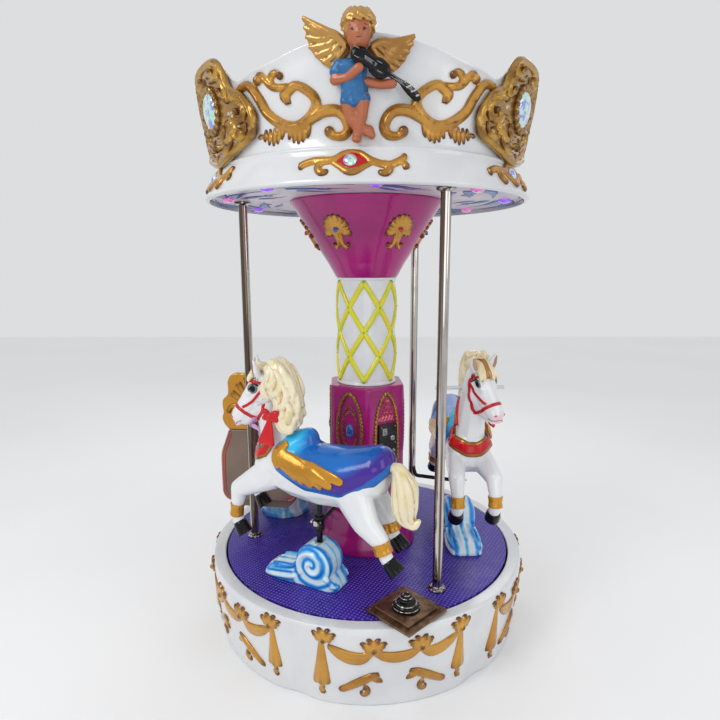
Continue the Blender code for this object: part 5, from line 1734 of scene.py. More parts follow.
spiral_streak = streaks(reckoned(reckoned(reach, "MULTIPLY", 165.0), "ADD", angle))
back_streak = streaks(reckoned(sideways, "MULTIPLY", 125.0))
tongue_streak = streaks(reckoned(reckoned(axes.outputs["Z"], "ADD", reckoned(axes.outputs["X"], "MULTIPLY",
                                                                             0.16)), "MULTIPLY", 210.0))
on_face = fade(WAVE_PAINT, sideways, 0.046, 0.053)
on_tongue = reckoned(fade(WAVE_PAINT, axes.outputs["X"], 0.052, 0.066), "MULTIPLY", on_face)
face_only = reckoned(on_face, "SUBTRACT", on_tongue)
streak = reckoned(reckoned(spiral_streak, "MULTIPLY", face_only), "ADD",
                  reckoned(tongue_streak, "MULTIPLY", on_tongue))
streak = reckoned(streak, "ADD", reckoned(back_streak, "MULTIPLY", reckoned(1.0, "SUBTRACT", on_face)))
laid_over(WAVE_PAINT, fade(WAVE_PAINT, streak, -0.55, 0.45), (0.10, 0.50, 0.82))
laid_over(WAVE_PAINT, fade(WAVE_PAINT, streak, 0.35, 1.0), (0.005, 0.19, 0.66))
for number, stand in STANDS.items():
    piece(f"wave_{number}", pedestal_mesh, WAVE_PAINT, "turntable", [f"wave_pedestal_{number}"],
          stand=stand)
print("pedestal:", len(pedestal_mesh.polygons), "faces")

# %% [markdown]
# ## Horses
# Each horse is one hollow fibreglass casting. It is modelled the way a toy sculptor roughs out an
# animal: chains of balls for the barrel, neck, head and legs, fused and softened. Both horses come
# out of one mould and differ only in the near foreleg. They are built in their own frame, with x
# forward, y outward and z up, and then stood on their rods.

# %% The horse's frame
HEAD_TURN = 34.0
HEAD_AT = Vector((0.205, 0.018, 1.020))


def on_head(forward, left, up, *radii):
    point = HEAD_AT + Matrix.Rotation(math.radians(HEAD_TURN), 3, "Z") @ Vector((forward, left, up))
    return (*point, *radii)


def mirrored_limb(knobs):
    return [(x, -y, z, rx, ry, rz) for x, y, z, rx, ry, rz in knobs]


def horse_piece(name, mesh, look, number, nodes=(), sharp=None):
    """A piece in the horse's frame, stood on its rod."""
    piece(f"{name}_{number}", mesh, look, f"horse_{number}", nodes, sharp=sharp, stand=STANDS[number])


print("horses stand at", [tuple(round(v, 2) for v in STANDS[n].translation) for n in STANDS])

# %% Body and head
BARREL = [
    (-0.235, 0, 0.750, 0.070, 0.084, 0.086), (-0.150, 0, 0.724, 0.085, 0.098, 0.104),
    (-0.030, 0, 0.714, 0.085, 0.096, 0.106), (0.080, 0, 0.724, 0.085, 0.094, 0.108),
    (0.165, 0, 0.742, 0.085, 0.086, 0.098),
]
NECK = [
    (0.135, 0, 0.790, 0.095, 0.066, 0.080), (0.158, 0.005, 0.890, 0.080, 0.056, 0.070),
    (0.178, 0.012, 0.985, 0.066, 0.050, 0.055), (0.190, 0.018, 1.040, 0.055, 0.046, 0.045),
]
HEAD = [
    [on_head(0.0, 0, 0.0, 0.056, 0.050, 0.058), on_head(0.050, 0, -0.062, 0.042, 0.040, 0.044),
     on_head(0.084, 0, -0.106, 0.037, 0.036, 0.036)],
    [on_head(-0.005, 0, -0.055, 0.044, 0.042, 0.045), on_head(0.066, 0, -0.118, 0.033, 0.033, 0.028)],
]
BROWS = [[on_head(0.030, side * 0.036, 0.020, 0.022, 0.012, 0.014),
          on_head(0.052, side * 0.034, -0.018, 0.012, 0.010, 0.012)]
         for side in (-1, 1)]
CHEEKS = [[on_head(0.000, side * 0.028, -0.048, 0.034, 0.022, 0.034),
           on_head(0.012, side * 0.026, -0.064, 0.024, 0.018, 0.024)]
          for side in (-1, 1)]
NOSTRILS = [[on_head(0.104, side * 0.020, -0.106, 0.014, 0.012, 0.013),
             on_head(0.098, side * 0.024, -0.118, 0.010, 0.009, 0.010)]
            for side in (-1, 1)]
LIPS = [[on_head(0.092, -0.018, -0.136, 0.012, 0.012, 0.007),
         on_head(0.096, 0.018, -0.136, 0.012, 0.012, 0.007)]]
EARS = [[on_head(0.012, side * 0.032, 0.036, 0.014, 0.014, 0.016),
         on_head(0.020, side * 0.050, 0.070, 0.012, 0.016, 0.019),
         on_head(0.028, side * 0.062, 0.106, 0.005, 0.005, 0.006)] for side in (-1, 1)]
HIP = (-0.190, 0.048, 0.690, 0.070, 0.046, 0.080)
PUSHING = [HIP, (-0.246, 0.061, 0.604, 0.050, 0.040, 0.047), (-0.298, 0.061, 0.556, 0.034, 0.030, 0.033),
           (-0.312, 0.061, 0.522, 0.024, 0.023, 0.024), (-0.326, 0.061, 0.496, 0.025, 0.024, 0.023)]
TRAILING = [HIP, (-0.236, 0.061, 0.620, 0.050, 0.040, 0.047), (-0.272, 0.061, 0.572, 0.034, 0.030, 0.033),
            (-0.284, 0.061, 0.542, 0.024, 0.023, 0.024), (-0.293, 0.061, 0.519, 0.025, 0.024, 0.023)]
SHOULDER = (0.165, 0.052, 0.700, 0.058, 0.040, 0.064)
REACHING = [SHOULDER, (0.292, 0.070, 0.628, 0.037, 0.032, 0.036),
            (0.305, 0.070, 0.568, 0.025, 0.024, 0.025), (0.312, 0.070, 0.522, 0.024, 0.023, 0.024),
            (0.304, 0.070, 0.494, 0.024, 0.024, 0.022)]
FOLDED = [SHOULDER, (0.294, 0.070, 0.670, 0.037, 0.032, 0.036), (0.320, 0.070, 0.614, 0.025, 0.024, 0.025),
          (0.325, 0.070, 0.575, 0.024, 0.023, 0.024), (0.315, 0.070, 0.549, 0.024, 0.024, 0.022)]
NEAR_FORELEG = {1: REACHING, 2: FOLDED}
FAR_FORELEG = mirrored_limb(FOLDED)
BODY_VOXEL = 0.0042


def horse_body(number):
    body = bmesh.new()
    for knobs in (BARREL, NECK, *HEAD, *BROWS, *CHEEKS, *NOSTRILS, *LIPS, *EARS, PUSHING,
                  mirrored_limb(TRAILING), NEAR_FORELEG[number], FAR_FORELEG):
        limb(body, knobs)
    return moulded(f"horse_body_{number}", body, BODY_VOXEL, 9, 26000)


HORSE_WHITE = gelcoat("horse_white_skin", (0.76, 0.77, 0.78), (0.70, 0.72, 0.75), (0.10, 0.20), coat=0.6)
muzzle = new_node(HORSE_WHITE, "ShaderNodeVectorMath", operation="DISTANCE")
wire(HORSE_WHITE, place_of(HORSE_WHITE), muzzle.inputs[0])
muzzle.inputs[1].default_value = on_head(0.126, 0, -0.126)
blush = combined(HORSE_WHITE, "SUBTRACT", 1.0, fade(HORSE_WHITE, muzzle.outputs["Value"], 0.012, 0.050))
laid_over(HORSE_WHITE, combined(HORSE_WHITE, "MULTIPLY", blush, 0.55), (0.74, 0.36, 0.44))
body_meshes = {number: horse_body(number) for number in (1, 2)}
body_trees = {}
for number, mesh in body_meshes.items():
    horse_piece("horse_body", mesh, HORSE_WHITE, number, [f"horse_{number}_body"])
    body_trees[number] = tree_of(mesh)
print("horse bodies:", [len(mesh.polygons) for mesh in body_meshes.values()], "faces")

# %% [markdown]
# Straps, the wing and every painted edge are laid on the casting's surface. A helper walks along
# a few rough points, drops each onto the nearest spot of the skin, and sweeps a thin band there
# that keeps facing outward, so a strap follows the muscle under it like a real one.

# %% Lay a band on a skin
def laid_band(body, tree, points, thick, sides=10):
    """A low band over the skin through points of (x, y, z, half width)."""
    spots = []
    for x, y, z, half in spline(points, 7):
        spot, normal, _, _ = tree.find_nearest(Vector((x, y, z)))
        spots.append((spot, normal, half))
    rows = []
    for index, (spot, normal, half) in enumerate(spots):
        ahead, behind = spots[min(index + 1, len(spots) - 1)], spots[max(index - 1, 0)]
        run = (ahead[0] - behind[0]).normalized()
        lift = (ahead[1] + behind[1] + normal).normalized()
        across = run.cross(lift).normalized()
        lift = across.cross(run).normalized()
        row = []
        for side in range(sides):
            turn = math.tau * (side + 0.5) / sides
            wide = half * max(-1.0, min(1.0, 1.25 * math.cos(turn)))
            high = thick * max(-1.0, min(1.0, 1.5 * math.sin(turn)))
            row.append(spot + across * wide + lift * (high + 0.0006))
        rows.append(row)
    tube(body, rows)


print("bands ready")

# %% [markdown]
# ### Saddle
# The saddle and its flaps are moulded with the casting: a seat that dips in the middle, trimmed
# along a long curve at the side. The rough form is cut with that side outline and then softened,
# so that the rim rolls in. It is sprayed bright blue, with a purple fade above a blue rim.

# %% Saddle form
SEAT = (
    [(-0.262, 0, 0.785, 0.058, 0.084, 0.078), (-0.150, 0, 0.744, 0.090, 0.111, 0.094),
     (-0.020, 0, 0.738, 0.090, 0.108, 0.092), (0.085, 0, 0.766, 0.068, 0.104, 0.090)],
    [(-0.262, 0, 0.810, 0.050, 0.060, 0.045), (-0.200, 0, 0.800, 0.050, 0.060, 0.040)],
    [(0.020, 0, 0.835, 0.035, 0.050, 0.050), (0.060, 0, 0.820, 0.060, 0.080, 0.050)],
)
FLAP_LINE = [
    (0.146, 0.800), (0.126, 0.770), (0.104, 0.745), (0.045, 0.706), (-0.030, 0.678), (-0.110, 0.666),
    (-0.200, 0.688), (-0.282, 0.745), (-0.312, 0.782), (-0.325, 0.820),
]
SADDLE_OUTLINE = [*FLAP_LINE, (-0.312, 0.862), (-0.260, 0.885), (-0.120, 0.900), (0.000, 0.900),
                  (0.060, 0.900), (0.138, 0.870)]
seat = bmesh.new()
for knobs in SEAT:
    limb(seat, knobs, detail=3)
rough = moulded("saddle", seat, 0.005, 6)
side_line = spline([*SADDLE_OUTLINE, SADDLE_OUTLINE[0]], 5)[:-1]
trimmed = carved(rough, mesh_from(prism(side_line, 0.3), "side_block"), "INTERSECT")
saddle_mesh = worked(trimmed, ("REMESH", {"mode": "VOXEL", "voxel_size": 0.0032}),
                     ("SMOOTH", {"iterations": 6}), ("DECIMATE", {"ratio": 0.12}))
saddle_tree = tree_of(saddle_mesh)

SADDLE = gelcoat("saddle_spray", (0.0, 0.140, 0.52), (0.0, 0.105, 0.43), (0.08, 0.16), coat=0.18,
                 specular=0.4)
axes = new_node(SADDLE, "ShaderNodeSeparateXYZ")
wire(SADDLE, place_of(SADDLE), axes.inputs[0])
along = combined(SADDLE, "ADD", axes.outputs["X"], 0.09)
rim_line = combined(SADDLE, "MULTIPLY", combined(SADDLE, "MULTIPLY", along, along), 2.2)
above_rim = combined(SADDLE, "SUBTRACT", combined(SADDLE, "SUBTRACT", axes.outputs["Z"], 0.664), rim_line)
drift = combined(SADDLE, "MULTIPLY", combined(SADDLE, "SUBTRACT", noise(SADDLE, 9.0, 2.0), 0.5), 0.05)
height = combined(SADDLE, "ADD", above_rim, drift)
purple = combined(SADDLE, "MULTIPLY", fade(SADDLE, height, 0.030, 0.042),
                  combined(SADDLE, "SUBTRACT", 1.0, fade(SADDLE, height, 0.075, 0.120)))
laid_over(SADDLE, combined(SADDLE, "MULTIPLY", purple, 0.95), (0.048, 0.005, 0.25))
pommel = combined(SADDLE, "MULTIPLY", fade(SADDLE, axes.outputs["X"], -0.01, 0.04),
                  fade(SADDLE, axes.outputs["Z"], 0.79, 0.83))
laid_over(SADDLE, pommel, (0.03, 0.50, 0.86))
for number in (1, 2):
    horse_piece("saddle", saddle_mesh.copy(), SADDLE, number, [f"horse_{number}_saddle"])
print("saddle:", len(saddle_mesh.polygons), "faces")

# %% [markdown]
# ### Wing
# A small ochre wing lies on each flap. Feathers are leaf-shaped bands laid on the saddle in two
# rows, the short one over the long one, and fused with a rounded shoulder in front.

# %% Wing feathers
FEATHER_TIPS = [
    ((-0.188, 0.752), 0.0160), ((-0.142, 0.722), 0.0170), ((-0.102, 0.710), 0.0160),
    ((-0.064, 0.708), 0.0155), ((-0.028, 0.713), 0.0150), ((0.004, 0.724), 0.0145),
    ((0.030, 0.738), 0.0140), ((0.052, 0.756), 0.0130),
]
wing = bmesh.new()
root = (0.075, 0.838)
for side in (-1, 1):
    for index, ((tip_x, tip_z), half) in enumerate(FEATHER_TIPS):
        middle = ((root[0] + tip_x) / 2 + 0.010, (root[1] + tip_z) / 2 + 0.006)
        laid_band(wing, saddle_tree, [
            (root[0], side * 0.12, root[1], half * 0.7), (middle[0], side * 0.13, middle[1], half * 1.0),
            (tip_x * 0.85 + middle[0] * 0.15, side * 0.13, tip_z * 0.85 + middle[1] * 0.15, half * 0.95),
            (tip_x, side * 0.13, tip_z, half * 0.20),
        ], 0.0046 + 0.0022 * (index % 2))
    for (tip_x, tip_z), half in (((0.010, 0.775), 0.014), ((0.036, 0.782), 0.013), ((0.062, 0.778), 0.014),
                                 ((-0.030, 0.780), 0.014)):
        laid_band(wing, saddle_tree, [
            (0.088, side * 0.12, 0.834, 0.010),
            ((0.088 + tip_x) / 2, side * 0.13, (0.834 + tip_z) / 2, half),
            (tip_x, side * 0.13, tip_z, half * 0.5),
        ], 0.0074)
    laid_band(wing, saddle_tree, [
        (0.060, side * 0.10, 0.862, 0.010), (0.088, side * 0.12, 0.846, 0.019),
        (0.104, side * 0.12, 0.812, 0.021), (0.094, side * 0.12, 0.778, 0.017),
        (0.074, side * 0.12, 0.760, 0.009),
    ], 0.0072)
wing_mesh = moulded("wing", wing, 0.0022, 1, 16000)
for number in (1, 2):
    horse_piece("wing", wing_mesh, WING_GOLD, number)
print("wing:", len(wing_mesh.polygons), "faces")

# %% [markdown]
# ### Mane and tail
# The mane is a heap of fat curls. Each lock starts on the crest of the neck, falls over one side
# and rolls up at its tip. The locks are swept as round rods with a tapering radius over a rough
# core and fused. The paint is cream, and its creases are darkened to a deep gold as painted shade.

# %% Cream hair finish
HAIR = gelcoat("cream_mane_paint", (0.80, 0.72, 0.52), (0.76, 0.66, 0.42), (0.14, 0.28), coat=0.4)
laid_over(HAIR, fade(HAIR, noise(HAIR, 40.0, 3.0, (1, 1, 0.5)), 0.56, 0.70), (0.74, 0.60, 0.26))
# Painted shade: the creases are darkened to a deep gold.
laid_over(HAIR, recesses(HAIR, 0.455, 0.502), (0.50, 0.32, 0.06))
bumped(HAIR, noise(HAIR, 90.0, 3.0), 0.0008, 0.7)


def tress(body, points, side, y, size=0.0120, spread=0.0125):
    """A wavy lock of three strands beside the neck: points of (x, z), y counted out from the crest."""
    count = len(points) - 1
    for strand in (-1, 0, 1):
        run = []
        for number, (x, z) in enumerate(points):
            ahead = Vector(points[min(number + 1, count)])
            behind = Vector(points[max(number - 1, 0)])
            way = (ahead - behind).normalized()
            full = math.sin(math.pi * (0.14 + 0.74 * number / count))
            shift = strand * spread * full
            bulge = 0.012 * math.sin(math.pi * number / count) - 0.0035 * abs(strand)
            run.append((x - way.y * shift, 0.014 + side * (y + bulge), z + way.x * shift,
                        size * (0.45 + 0.6 * full)))
        lock(body, run)


TRESSES = [
    ([(0.172, 1.100), (0.152, 1.080), (0.150, 1.050), (0.166, 1.022), (0.156, 0.996), (0.134, 0.996),
      (0.132, 1.012)], 0.034),
    ([(0.150, 1.122), (0.120, 1.104), (0.108, 1.068), (0.126, 1.034), (0.116, 1.000), (0.090, 0.996),
      (0.086, 1.014)], 0.040),
    ([(0.126, 1.116), (0.092, 1.088), (0.080, 1.046), (0.098, 1.004), (0.088, 0.966), (0.062, 0.964),
      (0.058, 0.982)], 0.038),
    ([(0.104, 1.094), (0.070, 1.060), (0.056, 1.014), (0.072, 0.972), (0.062, 0.934), (0.042, 0.934),
      (0.040, 0.952)], 0.034),
    ([(0.146, 1.030), (0.118, 1.002), (0.100, 0.968), (0.108, 0.934), (0.090, 0.904), (0.066, 0.908),
      (0.068, 0.926)], 0.044),
    ([(0.104, 0.980), (0.082, 0.954), (0.090, 0.922), (0.080, 0.894), (0.058, 0.890), (0.054, 0.906)],
     0.048),
    ([(0.078, 1.042), (0.052, 1.006), (0.044, 0.966), (0.052, 0.926), (0.040, 0.896)], 0.026),
    ([(0.070, 0.956), (0.054, 0.930), (0.062, 0.900), (0.052, 0.884)], 0.034),
]
mane = bmesh.new()
limb(mane, [
    (0.150, 0.012, 1.084, 0.032, 0.034, 0.034), (0.124, 0.012, 1.064, 0.038, 0.040, 0.044),
    (0.098, 0.014, 1.018, 0.038, 0.042, 0.046), (0.078, 0.016, 0.965, 0.036, 0.044, 0.044),
    (0.070, 0.018, 0.915, 0.032, 0.042, 0.040),
])
for points, y in TRESSES:
    tress(mane, points, 1, y)
for points, y in TRESSES[1:4]:
    tress(mane, [(x + 0.012, z) for x, z in points], -1, y - 0.012)
OVER_LOCKS = [
    [(0.140, 1.110), (0.118, 1.080), (0.124, 1.050), (0.146, 1.036), (0.150, 1.052)],
    [(0.112, 1.098), (0.088, 1.060), (0.096, 1.022), (0.120, 1.008), (0.126, 1.024)],
    [(0.086, 1.056), (0.064, 1.016), (0.072, 0.978), (0.096, 0.964), (0.102, 0.980)],
    [(0.076, 1.000), (0.052, 0.966), (0.060, 0.930), (0.084, 0.914), (0.090, 0.930)],
]
for places in OVER_LOCKS:
    lock(mane, [(x, 0.070, z, half) for (x, z), half in zip(places, (0.006, 0.012, 0.015, 0.011, 0.005))])
CREST_LINE = [(0.160, 1.116), (0.126, 1.122), (0.094, 1.096), (0.068, 1.054), (0.052, 1.006),
              (0.044, 0.960)]
for offset in (-0.020, -0.007, 0.007, 0.020):
    lock(mane, [(x + 0.3 * abs(offset), 0.013 + offset + 0.004 * math.sin(5 * number),
                 z - 14 * offset * offset, 0.0115)
                for number, (x, z) in enumerate(CREST_LINE)])
mane_mesh = moulded("mane", mane, 0.0028, 1, 25000)
for number in (1, 2):
    horse_piece("mane", mane_mesh, HAIR, number, [f"horse_{number}_mane"])


OUTER_LOCKS = ((-0.026, 0.85, 0.004), (-0.016, 1.0, 0.008), (0.015, 1.0, 0.008), (0.025, 0.8, 0.005))
MIDDLE_LOCKS = ((-0.005, 0.9, 0.014), (0.006, 1.0, 0.015))


def forelock(share, locks):
    """Short locks between the ears, over the brow: their reach as a share of the longest."""
    body = bmesh.new()
    for spread, length, height in locks:
        lock(body, [on_head(-0.022, spread * 0.5, 0.058 + height, 0.0110),
                    on_head(0.012, spread * 0.8, 0.066 + height, 0.0135),
                    on_head(0.036, spread * 1.2, 0.050, 0.0125),
                    on_head(0.040 + 0.014 * share, spread * 1.5, 0.050 - 0.030 * share * length, 0.0095),
                    on_head(0.040 + 0.022 * share, spread * 1.9, 0.044 - 0.042 * share * length, 0.0040)])
    return moulded("forelock", body, 0.0024, 1)


for number, share in ((1, 0.45), (2, 0.75)):
    horse_piece("forelock", forelock(share, OUTER_LOCKS), HAIR, number)
    horse_piece("forelock_middle", forelock(share * 0.8, MIDDLE_LOCKS), HAIR_GOLD if number == 2 else HAIR,
                number)
print("mane:", len(mane_mesh.polygons), "faces")

# %% [markdown]
# The tail arches off the rump and hangs in nine strands, wound a little round a thick core. The
# strands spread in the middle and meet again in an upturned tip.

# %% Tail
tail = bmesh.new()
TAIL_LINE = [(-0.300, 0.0, 0.792, 0.016), (-0.340, 0.0, 0.788, 0.024), (-0.358, 0.0, 0.735, 0.030),
             (-0.360, 0.0, 0.674, 0.031), (-0.364, 0.0, 0.626, 0.024), (-0.392, 0.0, 0.608, 0.015),
             (-0.414, 0.0, 0.630, 0.007)]
lock(tail, TAIL_LINE)
for strand in range(9):
    turn = math.tau * strand / 9
    run = []
    for part, (x, y, z, radius) in enumerate(TAIL_LINE):
        twist = turn + 0.16 * part
        spread = (0.008, 0.024, 0.041, 0.043, 0.031, 0.013, 0.003)[part]
        run.append((x + spread * math.cos(twist) * (0.75 if part < 5 else 0.5),
                    y + spread * math.sin(twist) * 0.9,
                    z + (0.35 * spread * math.cos(twist) if part < 2 or part > 4 else 0),
                    0.0125 * (1.1 if part in (2, 3) else 0.85) - 0.0060 * (part == 6)))
    lock(tail, run)
tail_mesh = moulded("tail", tail, 0.003, 2, 8000)
for number in (1, 2):
    horse_piece("tail", tail_mesh, HAIR, number, [f"horse_{number}_tail"])
print("tail:", len(tail_mesh.polygons), "faces")

# %% [markdown]
# ### Hooves and leg bands
# The hooves are dipped in black gloss and the ochre bands above the fetlocks are cast a little
# proud of the leg. Each band wraps the last stretch of the leg's own chain.

# %% Feet
def feet(number):
    legs = [PUSHING, mirrored_limb(TRAILING), NEAR_FORELEG[number], FAR_FORELEG]
    kicks = [(-0.042, -0.042), (-0.040, -0.044), (-0.024, -0.034), (-0.024, -0.034)]
    hooves, bands = bmesh.new(), bmesh.new()
    for knobs, (forward, down) in zip(legs, kicks):
        knee, cannon, fetlock = (Vector(knob[:3]) for knob in knobs[-3:])
        toe = fetlock + Vector((forward, 0, down))
        way = (toe - fetlock).normalized()
        lock(hooves, [(*(fetlock + way * 0.002), 0.0225), (*(fetlock + way * 0.014), 0.0260),
                      (*(fetlock + way * 0.036), 0.0290), (*(fetlock + way * 0.052), 0.0300),
                      (*(fetlock + way * 0.0545), 0.0285)], sides=28)
        run = (cannon - knee).normalized()
        start = knee + run * 0.004
        end = cannon + run * 0.006
        radius = knobs[-3][4]
        lock(bands, [(*start, radius + 0.0005), (*(start + run * 0.002), radius + 0.0035),
                     (*((start + end) / 2), radius + 0.0012), (*(end - run * 0.002), radius + 0.0025),
                     (*end, radius - 0.001)], sides=28)
    hoof_mesh = moulded(f"hooves_{number}", hooves, 0.0026, 3, 6000)
    return hoof_mesh, mesh_from(bands, f"leg_bands_{number}")


for number in (1, 2):
    hoof_mesh, band_mesh = feet(number)
    horse_piece("hooves", hoof_mesh, BLACK, number)
    horse_piece("leg_bands", band_mesh, WING_GOLD, number)
print("feet dressed:", 8)

# %% [markdown]
# ### Bridle, chest strap and bow
# The harness is moulded on and painted red. The bridle has a brow band, a cheek strap, a cross
# strap and a noseband. A broad red strap with gold edges crosses the chest, and a red bow with two
# tails hangs on the neck's outer side. From the first horse's jaw fall two mauve straps. The second
# has a red tassel on its inner side instead.

# %% Harness
def head_band(body, tree, points, half, thick=0.0028):
    laid_band(body, tree, [on_head(*point, half) for point in points], thick)


def harness(number):
    tree = body_trees[number]
    red, mauve, edge = bmesh.new(), bmesh.new(), bmesh.new()
    for side in (-1, 1):
        head_band(red, tree,
                  [(0.070, 0, 0.036), (0.040, side * 0.050, 0.034), (0.004, side * 0.070, 0.022)], 0.0055)
        head_band(red, tree, [(0.004, side * 0.070, 0.024), (-0.004, side * 0.070, -0.020),
                              (0.010, side * 0.060, -0.074), (0.020, side * 0.036, -0.110)], 0.0062)
        head_band(red, tree, [(0.002, side * 0.070, 0.010), (0.040, side * 0.060, -0.044),
                              (0.080, side * 0.050, -0.066)], 0.0050)
        head_band(red, tree,
                  [(0.104, 0, -0.062), (0.084, side * 0.045, -0.076), (0.050, side * 0.055, -0.102),
                   (0.022, side * 0.036, -0.118)], 0.0060)
    laid_band(edge, tree,
              [(0.150, -0.12, 0.835, 0.022), (0.215, -0.085, 0.790, 0.0265), (0.260, 0, 0.766, 0.029),
               (0.215, 0.085, 0.790, 0.0265), (0.150, 0.12, 0.835, 0.022)], 0.0026, 14)
    laid_band(red, tree,
              [(0.150, -0.12, 0.835, 0.0135), (0.215, -0.085, 0.790, 0.0165), (0.260, 0, 0.766, 0.018),
               (0.215, 0.085, 0.790, 0.0165), (0.150, 0.12, 0.835, 0.0135)], 0.0044, 14)
    if number == 1:
        for side in (-1, 1):
            laid_band(mauve, tree,
                      [(0.212, side * 0.055, 0.915, 0.014), (0.222, side * 0.058, 0.880, 0.015),
                       (0.232, side * 0.060, 0.830, 0.013), (0.240, side * 0.060, 0.790, 0.010)], 0.0040,
                      12)
    else:
        laid_band(mauve, tree, [(0.150, -0.085, 0.960, 0.008), (0.160, -0.080, 0.900, 0.013),
                                (0.178, -0.075, 0.842, 0.018)], 0.0060, 12)
        laid_band(edge, tree, [(0.158, -0.085, 0.955, 0.003), (0.170, -0.080, 0.900, 0.003),
                               (0.188, -0.075, 0.846, 0.003)], 0.0080, 10)
    return mesh_from(red, "harness"), mesh_from(mauve, "chest_ribbon"), mesh_from(edge, "strap_edge")


MAUVE = gelcoat("mauve_strap_paint", (0.50, 0.26, 0.56), (0.62, 0.34, 0.58))
for number in (1, 2):
    red_mesh, mauve_mesh, edge_mesh = harness(number)
    horse_piece("harness", red_mesh, RED, number)
    horse_piece("ribbon", mauve_mesh, MAUVE if number == 1 else RED, number)
    horse_piece("strap_edges", edge_mesh, WING_GOLD, number)


def neck_bow():
    """Four lobes round a knot with two tails, standing off the outer side of the neck."""
    body = bmesh.new()
    knot = Vector((0.124, 0.086, 0.930))
    for x, z, lean in ((-0.019, 0.014, 28), (0.019, 0.016, -28), (-0.018, -0.004, -18),
                       (0.018, -0.002, 18)):
        ball(body, knot + Vector((x, 0, z)), (0.0195, 0.0105, 0.0120),
             Matrix.Rotation(math.radians(lean), 4, "Y"))
    ball(body, knot + Vector((0, 0.003, 0.004)), (0.0095, 0.0120, 0.0115))
    for lean, drop in ((0.032, 0.092), (0.002, 0.096)):
        foot = knot + Vector((lean, 0.006, -drop))
        for fold in (-0.007, 0.0, 0.007):
            lock(body, [(*knot, 0.006), (*(knot.lerp(foot, 0.5) + Vector((fold * 0.8, 0, 0))), 0.0078),
                        (*(foot + Vector((fold * 1.7, 0, 0))), 0.0082),
                        (*(foot + Vector((fold * 1.8, 0, -0.006))), 0.004)])
    return moulded("neck_bow", body, 0.0024, 3)


for number in (1, 2):
    horse_piece("bow_near", neck_bow(), RED, number)
print("harness laid on both horses")

# %% [markdown]
# ### Eyes, ears and mouth
# The eyes are glossy black domes on a grey painted shade, under black lids and lashes. The ears
# are brown inside as painted shade in their hollows, the nostrils pink, and a thin pink line makes the
# smile.

# %% Face details
GREY = gelcoat("lash_grey_paint", (0.16, 0.19, 0.19), (0.25, 0.29, 0.29), (0.3, 0.5), coat=0.2)
# Painted shade: the ear insides are brown where the ear's hollow is in shadow.
EAR_BROWN = gelcoat("ear_hollow_painted_shade", (0.34, 0.17, 0.07), (0.45, 0.27, 0.15), (0.3, 0.45), coat=0.2)


def faces(number):
    tree = body_trees[number]
    eyes, shade, lids, pink, ears = (bmesh.new() for _ in range(5))
    for side in (-1, 1):
        spot, normal, _, _ = tree.find_nearest(Vector(on_head(0.036, side * 0.060, 0.000)))
        tilt = normal.to_track_quat("Z", "Y").to_matrix().to_4x4()
        ball(eyes, spot - normal * 0.0040, (0.0125, 0.0155, 0.0085), tilt, detail=4)
        ball(shade, spot - normal * 0.0020, (0.0185, 0.0205, 0.0036), tilt, detail=4)
        head_band(lids, tree,
                  [(0.056, side * 0.060, 0.000), (0.046, side * 0.060, 0.018), (0.030, side * 0.060, 0.022),
                   (0.014, side * 0.060, 0.010)], 0.0024, 0.0034)
        for lash, (forward, up) in enumerate(((0.064, 0.010), (0.057, 0.024), (0.044, 0.033),
                                              (0.030, 0.037), (0.014, 0.034))):
            root = ((0.052, 0.008), (0.047, 0.015), (0.039, 0.020), (0.029, 0.022), (0.019, 0.018))[lash]
            laid_band(lids, tree, [on_head(root[0], side * 0.060, root[1], 0.0016),
                                   on_head(forward, side * 0.060, up, 0.0005)], 0.0012, 6)
        nose, out, _, _ = tree.find_nearest(Vector(on_head(0.118, side * 0.026, -0.106)))
        ball(pink, nose - out * 0.001, (0.0062, 0.0044, 0.0026),
             out.to_track_quat("Z", "Y").to_matrix().to_4x4())
        laid_band(ears, tree,
                  [on_head(0.040, side * 0.046, 0.052, 0.0062), on_head(0.046, side * 0.058, 0.076, 0.0082),
                   on_head(0.040, side * 0.066, 0.100, 0.0030)], 0.0016)
    head_band(pink, tree,
              [(0.082, -0.048, -0.126), (0.112, -0.026, -0.133), (0.124, 0, -0.134), (0.112, 0.026, -0.133),
               (0.082, 0.048, -0.126)], 0.0014, 0.0012)
    return eyes, shade, lids, pink, ears


NOSE_PINK = gelcoat("nose_pink_paint", (0.60, 0.06, 0.09), (0.66, 0.12, 0.16))
for number in (1, 2):
    for stem, made, look in zip(("eyes", "eye_shade", "lids", "nose_paint", "ear_insides"), faces(number),
                                (BLACK, GREY, BLACK, NOSE_PINK, EAR_BROWN)):
        horse_piece(stem, mesh_from(made, stem), look, number)
print("faces painted")

# %% [markdown]
# ### Handle, lift rod and clamp
# A white-sleeved bar goes through the neck for the rider's hands. Under the belly a black rod runs
# down into the pedestal, with a chromed clamp block, two bolts and the foot bar on the inner side.

